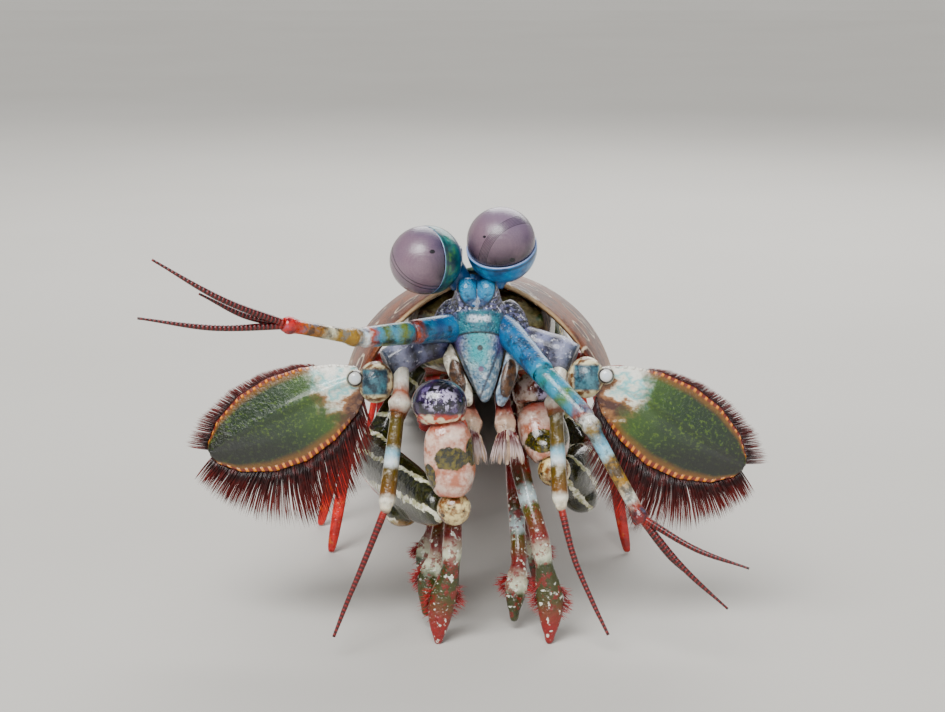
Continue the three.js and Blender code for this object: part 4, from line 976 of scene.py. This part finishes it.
def thighFinish():
    s = Surface("thighShell")
    x, y, z = s.headPlace()
    run = (x + z * 1.3 + y * 0.3) + (s.mottle(1.8, 4, 0.6, 4) - 0.5) * 3.0
    stripes = (run * 1.55).sine()
    color = s.blend(s.mottle(0.6, 5, 0.65, 3).step(0.38, 0.66), "#1c210c", "#55562a")
    pale = s.blend(s.mottle(0.7, 3).step(0.4, 0.6), "#b9b89a", "#f0eee2")
    color = s.blend(stripes.step(0.72, 0.9), color, pale)
    low = z + (s.mottle(0.9, 3, 0.5, 9) - 0.5) * 0.8
    color = s.blend(low.step(13.6, 12.7) * 0.85, color, "#a98a3a")
    color = s.blend(low.step(12.5, 11.9), color, "#a3202a")
    return s.close(color, 0.24, s.mottle(0.5, 4), 0.14, coat=0.7, scatter=0.1)


def makeClubs():
    thigh, wrist = thighFinish(), wristFinish()
    for side in ("right", "left"):
        finishes = {"thigh": thigh, "wrist": wrist, "palm": palmFinish(side), "club": clubFinish(side)}
        for part, name, slot in clubs["pieces"]:
            node = f"raptorial_{part}_{side}"
            dress(skinOf(node, name + side.title(), 1, 0.15, 10, 0.1), finishes[name], slot, node)


makeClubs()
print("striking limbs ready")

# Mouth limbs: olive, edged with orange, each ending in an oval hand with red bristles.
# Places are knee, wrist, palm and hand in the head's frame.
armPlaces = {
    ("right", 3): [(-2.7, 4.0, 17.6), (-2.9, 2.0, 12.4), (-3.0, 1.6, 8.6), (-4.2, 2.2, 4.2)],
    ("right", 4): [(-3.6, 8.4, 16.0), (-4.4, 6.6, 12.0), (-4.6, 6.2, 9.6), (-5.6, 6.4, 6.6)],
    ("right", 5): [(-4.0, 13.4, 17.0), (-4.9, 11.6, 13.6), (-5.2, 11.2, 11.6), (-6.0, 11.4, 9.2)],
    ("left", 3): [(4.4, 3.4, 17.4), (6.2, 1.6, 12.6), (6.8, 1.8, 8.8), (7.6, 2.2, 4.4)],
    ("left", 4): [(3.9, 8.0, 14.0), (4.2, 6.2, 10.6), (4.2, 5.8, 8.6), (3.9, 6.0, 6.0)],
    ("left", 5): [(4.4, 13.4, 17.0), (5.4, 11.6, 13.6), (5.6, 11.2, 11.6), (6.4, 11.4, 9.2)],
}


bristleCount = 170


def mouthLimbFinish():
    s = Surface("mouthLimb")
    run = s.reading("along") + (s.mottle(1.2, 3, 0.6, 2) - 0.5) * 1.6
    color = s.ramp(run / 26, [(0, "#6a1a14"), (0.25, "#8a2c18"), (0.38, "#5a5224"), (0.46, "#c8d4d6"),
                              (0.5, "#6a6a34"), (0.62, "#8a2a1a"), (0.7, "#d9dccb"), (0.74, "#4c5226"),
                              (0.88, "#5d5b2c"), (1, "#9a2418")])
    color = s.blend(s.mottle(0.8, 4, 0.6, 6).step(0.52, 0.62) * 0.8, color, "#8f1d18")
    color = s.blend(s.mottle(0.55, 3, 0.5, 13).step(0.6, 0.68) * 0.9, color, "#e6e8e0")
    height = s.mottle(0.5, 4) + s.cells(0.4).step(0, 0.5) * 0.4
    return s.close(color, 0.3, height, 0.15, coat=0.5, scatter=0.2)


def makeMouthLimbs():
    material = mouthLimbFinish()
    hairMaterial = setaFinish("crimsonBristles", "#8f1620", "#c2464a", 5)
    for (side, number), places in armPlaces.items():
        node = f"maxilliped_{number}_{side}"
        piece = skinOf(node, f"mouthLimb{side.title()}{number}", 1, 0.14, 5, 0.1)
        path = [headPoint(*p) for p in places]
        tip = path[-1] + (path[-1] - path[-2]) * 0.6
        markAlong(piece, [path[0] + Vector((0, 6, 8)) * mm] + path + [tip])
        dress(piece, material, "mouth_limbs", node)
        hairs = []
        size = 1.75 - 0.2 * (number - 3)
        for _ in range(bristleCount):
            share = random.uniform(-0.5, 1.15)
            sign = random.choice((-1, 1))
            at = path[-2].lerp(tip, 0.25 + 0.5 * (share + 0.5) / 1.65)
            half = size * math.sin(math.pi * min(0.95, max(0.1, (share + 0.75) / 2)))
            root = at + Vector((sign * half * 0.85, random.uniform(-0.4, 0.4), 0)) * mm
            outward = sign * random.uniform(0.5, 1.2)
            ways = Vector((outward, random.uniform(-0.6, 0.6), random.uniform(-1.0, 0.1)))
            end = root + ways.normalized() * random.uniform(0.7, 1.5) * mm
            end.z = max(end.z, 0.15 * mm)
            hairs.append((root, end, Vector((0, 0, 0)), 0.045 * mm, 0.5 + share * 0.3, 0.5 + sign * 0.3))
        dress(setae(f"bristles{side.title()}{number}", hairs), hairMaterial, "mouth_limbs")


makeMouthLimbs()
print("mouth limbs ready")

# Trunk: the back line falls from the carapace to the tail
trunk = {
    "pitch": [(0, 7), (28, 10), (42, 21), (60, 21), (90, 16.8), (113, 12), (133, 15)], "start": (0, 5, 39.7),
    "plates": [("thorax_6", 33, 6.5), ("thorax_7", 39.5, 6.5), ("thorax_8", 46, 6.5),
               ("abdomen_1", 52.5, 10.5), ("abdomen_2", 63, 10.5), ("abdomen_3", 73.5, 10.5),
               ("abdomen_4", 84, 10.5), ("abdomen_5", 94.5, 10.5), ("abdomen_6", 105, 8)],
    "tail": 113,
}


def backPoint(s, x=0.0, deep=0.0):
    # s millimetres along the back, x to the left and deep below it
    at = headPoint(*trunk["start"]) / mm
    done = 0.0
    while done < s:
        part = min(0.25, s - done)
        pitch = math.radians(along(trunk["pitch"], done + part / 2))
        at += Vector((0, math.cos(pitch), -math.sin(pitch))) * part
        done += part
    pitch = math.radians(along(trunk["pitch"], done))
    out = Vector((0, math.sin(pitch), math.cos(pitch)))
    return (at - out * deep + Vector((x, 0, 0))) * mm


def carapaceFinish():
    s = Surface("carapaceShell")
    run = s.reading("along")
    side = abs(s.bodyPlace()[0])
    grain = s.mottle(1.2, 5, 0.6, 2)
    color = s.blend(s.mottle(6, 4, 0.6, 3).step(0.35, 0.65), "#6e3f26", "#9a684c")
    color = s.blend(grain.step(0.5, 0.7) * 0.35, color, "#b98d74")
    spots = s.cells(4.2, seed=2, randomness=1) + (grain - 0.5) * 0.3 + (s.mottle(7, 2, 0.5, 12) - 0.5) * 0.35
    color = s.blend(spots.step(0.38, 0.34), color, "#e4d8c8")
    brown = s.blend(s.mottle(0.8, 4, 0.6, 8).step(0.4, 0.6), "#4a2413", "#7a4424")
    color = s.blend(spots.step(0.32, 0.28), color, brown)
    streak = s.mottle(1.4, 4, 0.6, 21, (1, 0.35, 1)).step(0.52, 0.6)
    color = s.blend(streak * 0.6, color, "#54280f")
    small = s.cells(1.7, seed=9)
    color = s.blend(small.step(0.2, 0.14) * spots.step(0.42, 0.5) * 0.9, color, "#5f3718")
    color = s.blend(run.step(0.75, 0.35) * 0.85, color, "#d8c4a8")
    color = s.blend(side.step(13.6, 15.2) * 0.4, color, "#b89a70")
    return s.close(color, 0.46, s.mottle(0.4, 4) + s.mottle(3.0, 3), 0.15, coat=0.15, scatter=0.04)


def plateFinish(name, length):
    s = Surface(name)
    run = s.reading("along") / length + (s.mottle(1.5, 3) - 0.5) * 0.05
    side = abs(s.bodyPlace()[0])
    grain = s.mottle(1.0, 5, 0.65, 2)
    color = s.blend(s.mottle(4.5, 4, 0.6, 5).step(0.38, 0.64), "#24370f", "#52652a")
    color = s.blend(grain.step(0.5, 0.68) * 0.5, color, "#7d8844")
    color = s.blend(s.mottle(0.45, 3, 0.5, 9).step(0.6, 0.7) * 0.7, color, "#18240c")
    color = s.blend(run.step(0.86, 0.92), color, "#0e2318")
    color = s.blend(run.step(0.93, 0.965), color, "#b0a35a")
    color = s.blend(run.step(0.975, 0.99), color, "#7e1d12")
    spots = s.cells(4.2, seed=5)
    color = s.blend(spots.step(0.17, 0.12) * side.step(3, 5), color, "#d8cfa0")
    color = s.blend(spots.step(0.1, 0.06) * side.step(3, 5), color, "#4a1c10")
    color = s.blend((side + (grain - 0.5) * 2).step(9.6, 11.8) * 0.8, color, "#8a4a22")
    return s.close(color, 0.25, grain + s.mottle(0.35, 3) * 0.5, 0.14, coat=0.65, scatter=0.05)


def innerFinish():
    s = Surface("innerBody")
    _, _, z = s.headPlace()
    high = z.step(31, 34)
    color = s.blend(s.mottle(1.6, 5, 0.6).step(0.38, 0.62), "#3a3c24", "#a8a17c")
    color = s.blend(s.mottle(2.4, 3, 0.5, 3).step(0.5, 0.6) * high, color, "#d8cfb0")
    color = s.blend(s.mottle(1.8, 3, 0.5, 8).step(0.54, 0.64) * high, color, "#4f6b3c")
    color = s.blend(s.mottle(1.0, 4, 0.6, 6).step(0.52, 0.64) * 0.8, color, "#6a3a2a")
    color = s.blend(z.step(29, 26) * 0.85, color, "#5a1f16")
    return s.close(color, 0.35, s.mottle(0.8, 5, 0.65), 0.25, coat=0.5, scatter=0.1)


def makeTrunk():
    shield = skinOf("carapace", "carapaceShield", 2)
    markAlong(shield, [backPoint(s) for s in range(0, 36, 3)])
    dress(shield, carapaceFinish(), "carapace_shell", "carapace")
    inner = skinOf("front_thorax", "foreBody", 2, 0, 2, 0.05)
    dress(inner, innerFinish(), "trunk_shell", "front_thorax")
    finishes = {}
    for node, start, length in trunk["plates"]:
        if length not in finishes:
            finishes[length] = plateFinish(f"backPlate{int(length)}", length)
        piece = skinOf(node, "plate" + node.title().replace("_", ""), 1, 0.24, 3, 0.06)
        markAlong(piece, [backPoint(start), backPoint(start + length)])
        dress(piece, finishes[length], "trunk_shell", node)


makeTrunk()
print("trunk ready")

# Walking legs and swimming limbs: slot, name of the pieces, their count and the grid of the skin
limbs = {
    "leg": {"slot": "legs", "name": "leg", "count": 3, "cell": 0.12, "swell": 0.09,
            "speck": "#f0b070", "dark": "#7a1a10",
            "bands": [(0, "#c2401a"), (6, "#d2561f"), (11, "#b3301a"), (18, "#d8641f"), (26, "#a8281a")]},
    "pleopod": {"slot": "swimmers", "name": "swimmer", "count": 5, "cell": 0.14, "swell": 0.07,
                "speck": "#f0a080", "dark": "#6a1010",
                "bands": [(0, "#b8301a"), (4, "#c8401c"), (8, "#a0201a"), (12, "#c8502a")]},
}


def makeLimbs():
    finishes = {}
    for kind, form in limbs.items():
        name = form["name"] + "Shell"
        finishes[kind] = limbFinish(name, form["bands"], form["speck"], form["dark"], 0.3, 0.5)
    for side in ("Right", "Left"):
        for kind, form in limbs.items():
            for number in range(1, form["count"] + 1):
                node = f"{kind}_{number}_{side.lower()}"
                low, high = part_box(node)
                piece = skinOf(node, f"{form['name']}{side}{number}", 1, form["cell"], 3, form["swell"])
                markAlong(piece, [Vector((0, 0, high.z)), Vector((0, 0, low.z))])
                dress(piece, finishes[kind], form["slot"], node)


makeLimbs()
print("legs and swimmers ready")

# Tail fan: a keeled plate with red teeth, and fringed paddles with a blue patch
# Each blade has a root and a tip, as [along the back, to the side, below it], its edges as
# [share of the length, reach out, reach in] and its count of bristles.
tail = {
    "blades": [
        {"root": (8.0, 16.6, 4.6), "tip": (19.0, 20.4, 3.4), "hairs": 300,
         "edges": [(0, 1.6, 1.6), (0.2, 2.6, 2.3), (0.5, 3.6, 3.0), (0.8, 3.4, 3.0), (1, 1.6, 1.4)]},
        {"root": (1.6, 12.6, 5.0), "tip": (17.4, 14.8, 3.2), "hairs": 240,
         "edges": [(0, 1.2, 1.2), (0.3, 1.9, 1.9), (0.6, 2.6, 2.4), (0.85, 2.4, 2.2), (1, 1.2, 1.0)]},
    ],
    "path": [(-3.6, 9), (1.6, 12.6), (8, 15.6), (19, 18.5)],
    "lean": [(0, 0.7), (0.8, 1), (1, 2.4)], "hair": 2.0,
    "paddleTones": [(0, "#39501c"), (0.28, "#5f6a2c"), (0.4, "#8a3a1c"), (0.5, "#1f6fb0"), (0.62, "#2a8fc8"),
                    (0.74, "#d9d6c2"), (0.82, "#c23018"), (1, "#a01c14")],
}


def telsonFinish():
    s = Surface("tailPlate")
    side = abs(s.bodyPlace()[0])
    run = s.reading("along")
    grain = s.mottle(1.0, 5, 0.65, 4)
    color = s.blend(s.mottle(3, 4, 0.6, 2).step(0.38, 0.62), "#2c3a12", "#6a7434")
    keel = (side.band(0, 0.55, 0.3) + side.band(3.1, 0.5, 0.3) + side.band(6.3, 0.45, 0.3)).atMost(1.0)
    color = s.blend(keel * 0.85, color, s.blend(grain.step(0.4, 0.6), "#7c2a14", "#c06a2c"))
    color = s.blend((run + side * 0.35).step(17.2, 18.6), color, "#b3281a")
    color = s.blend(s.mottle(0.5, 3, 0.5, 8).step(0.6, 0.7) * 0.6, color, "#d9cf9a")
    return s.close(color, 0.26, grain, 0.15, coat=0.6)


def paddleFinish():
    s = Surface("tailPaddle")
    run = s.reading("along")
    grain = s.mottle(0.9, 5, 0.65, 4)
    color = s.ramp((run + (grain - 0.5) * 2) / 26, tail["paddleTones"])
    color = s.blend(s.mottle(0.45, 3, 0.5, 8).step(0.6, 0.7) * 0.5, color, "#efe6c8")
    return s.close(color, 0.28, grain, 0.15, coat=0.6)


def makeTail():
    piece = skinOf("telson", "tailPlate", 0, 0.15, 3, 0.05)
    markAlong(piece, [backPoint(trunk["tail"] + s) for s in range(0, 22, 3)])
    dress(piece, telsonFinish(), "tail_shell", "telson")
    paddle = paddleFinish()
    hairMaterial = setaFinish("tailFringe", "#b01c14", "#e0604a", 2)
    for side, sign in (("right", -1), ("left", 1)):
        piece = skinOf("uropod_" + side, "tailPaddles" + side.title(), 0, 0.15, 3, 0.04)
        markAlong(piece, [backPoint(trunk["tail"] + s, sign * x, 4.6) for s, x in tail["path"]])
        dress(piece, paddle, "tail_shell", "uropod_" + side)
        wide = Vector((sign, -0.35, 0)).normalized()
        hairs = []
        for blade in tail["blades"]:
            start, end = (backPoint(trunk["tail"] + s, sign * x, deep)
                          for s, x, deep in (blade["root"], blade["tip"]))
            aim = end - start
            for i in range(blade["hairs"]):
                way = 1 if i % 2 else -1
                share = 0.3 + 0.72 * (i / blade["hairs"])
                reach = along(blade["edges"], min(1, share), 1 if way > 0 else 2)
                if share >= 1:
                    reach *= random.uniform(0, 1)
                root = start + aim * share + wide * way * (reach - 0.25) * mm
                root.z += random.uniform(-0.15, 0.15) * mm
                ways = (wide * way + aim.normalized() * along(tail["lean"], share)).normalized()
                tip = root + ways * tail["hair"] * random.uniform(0.8, 1.1) * mm
                tip.z = max(tip.z, 0.15 * mm)
                root.z = max(root.z, 0.2 * mm)
                hairs.append((root, tip, Vector((0, 0, 0)), 0.06 * mm, share * 0.9 + 0.04, 0.5 + way * 0.4))
        dress(setae("tailFringe" + side.title(), hairs), hairMaterial, "tail_shell")


makeTail()
print("tail ready")
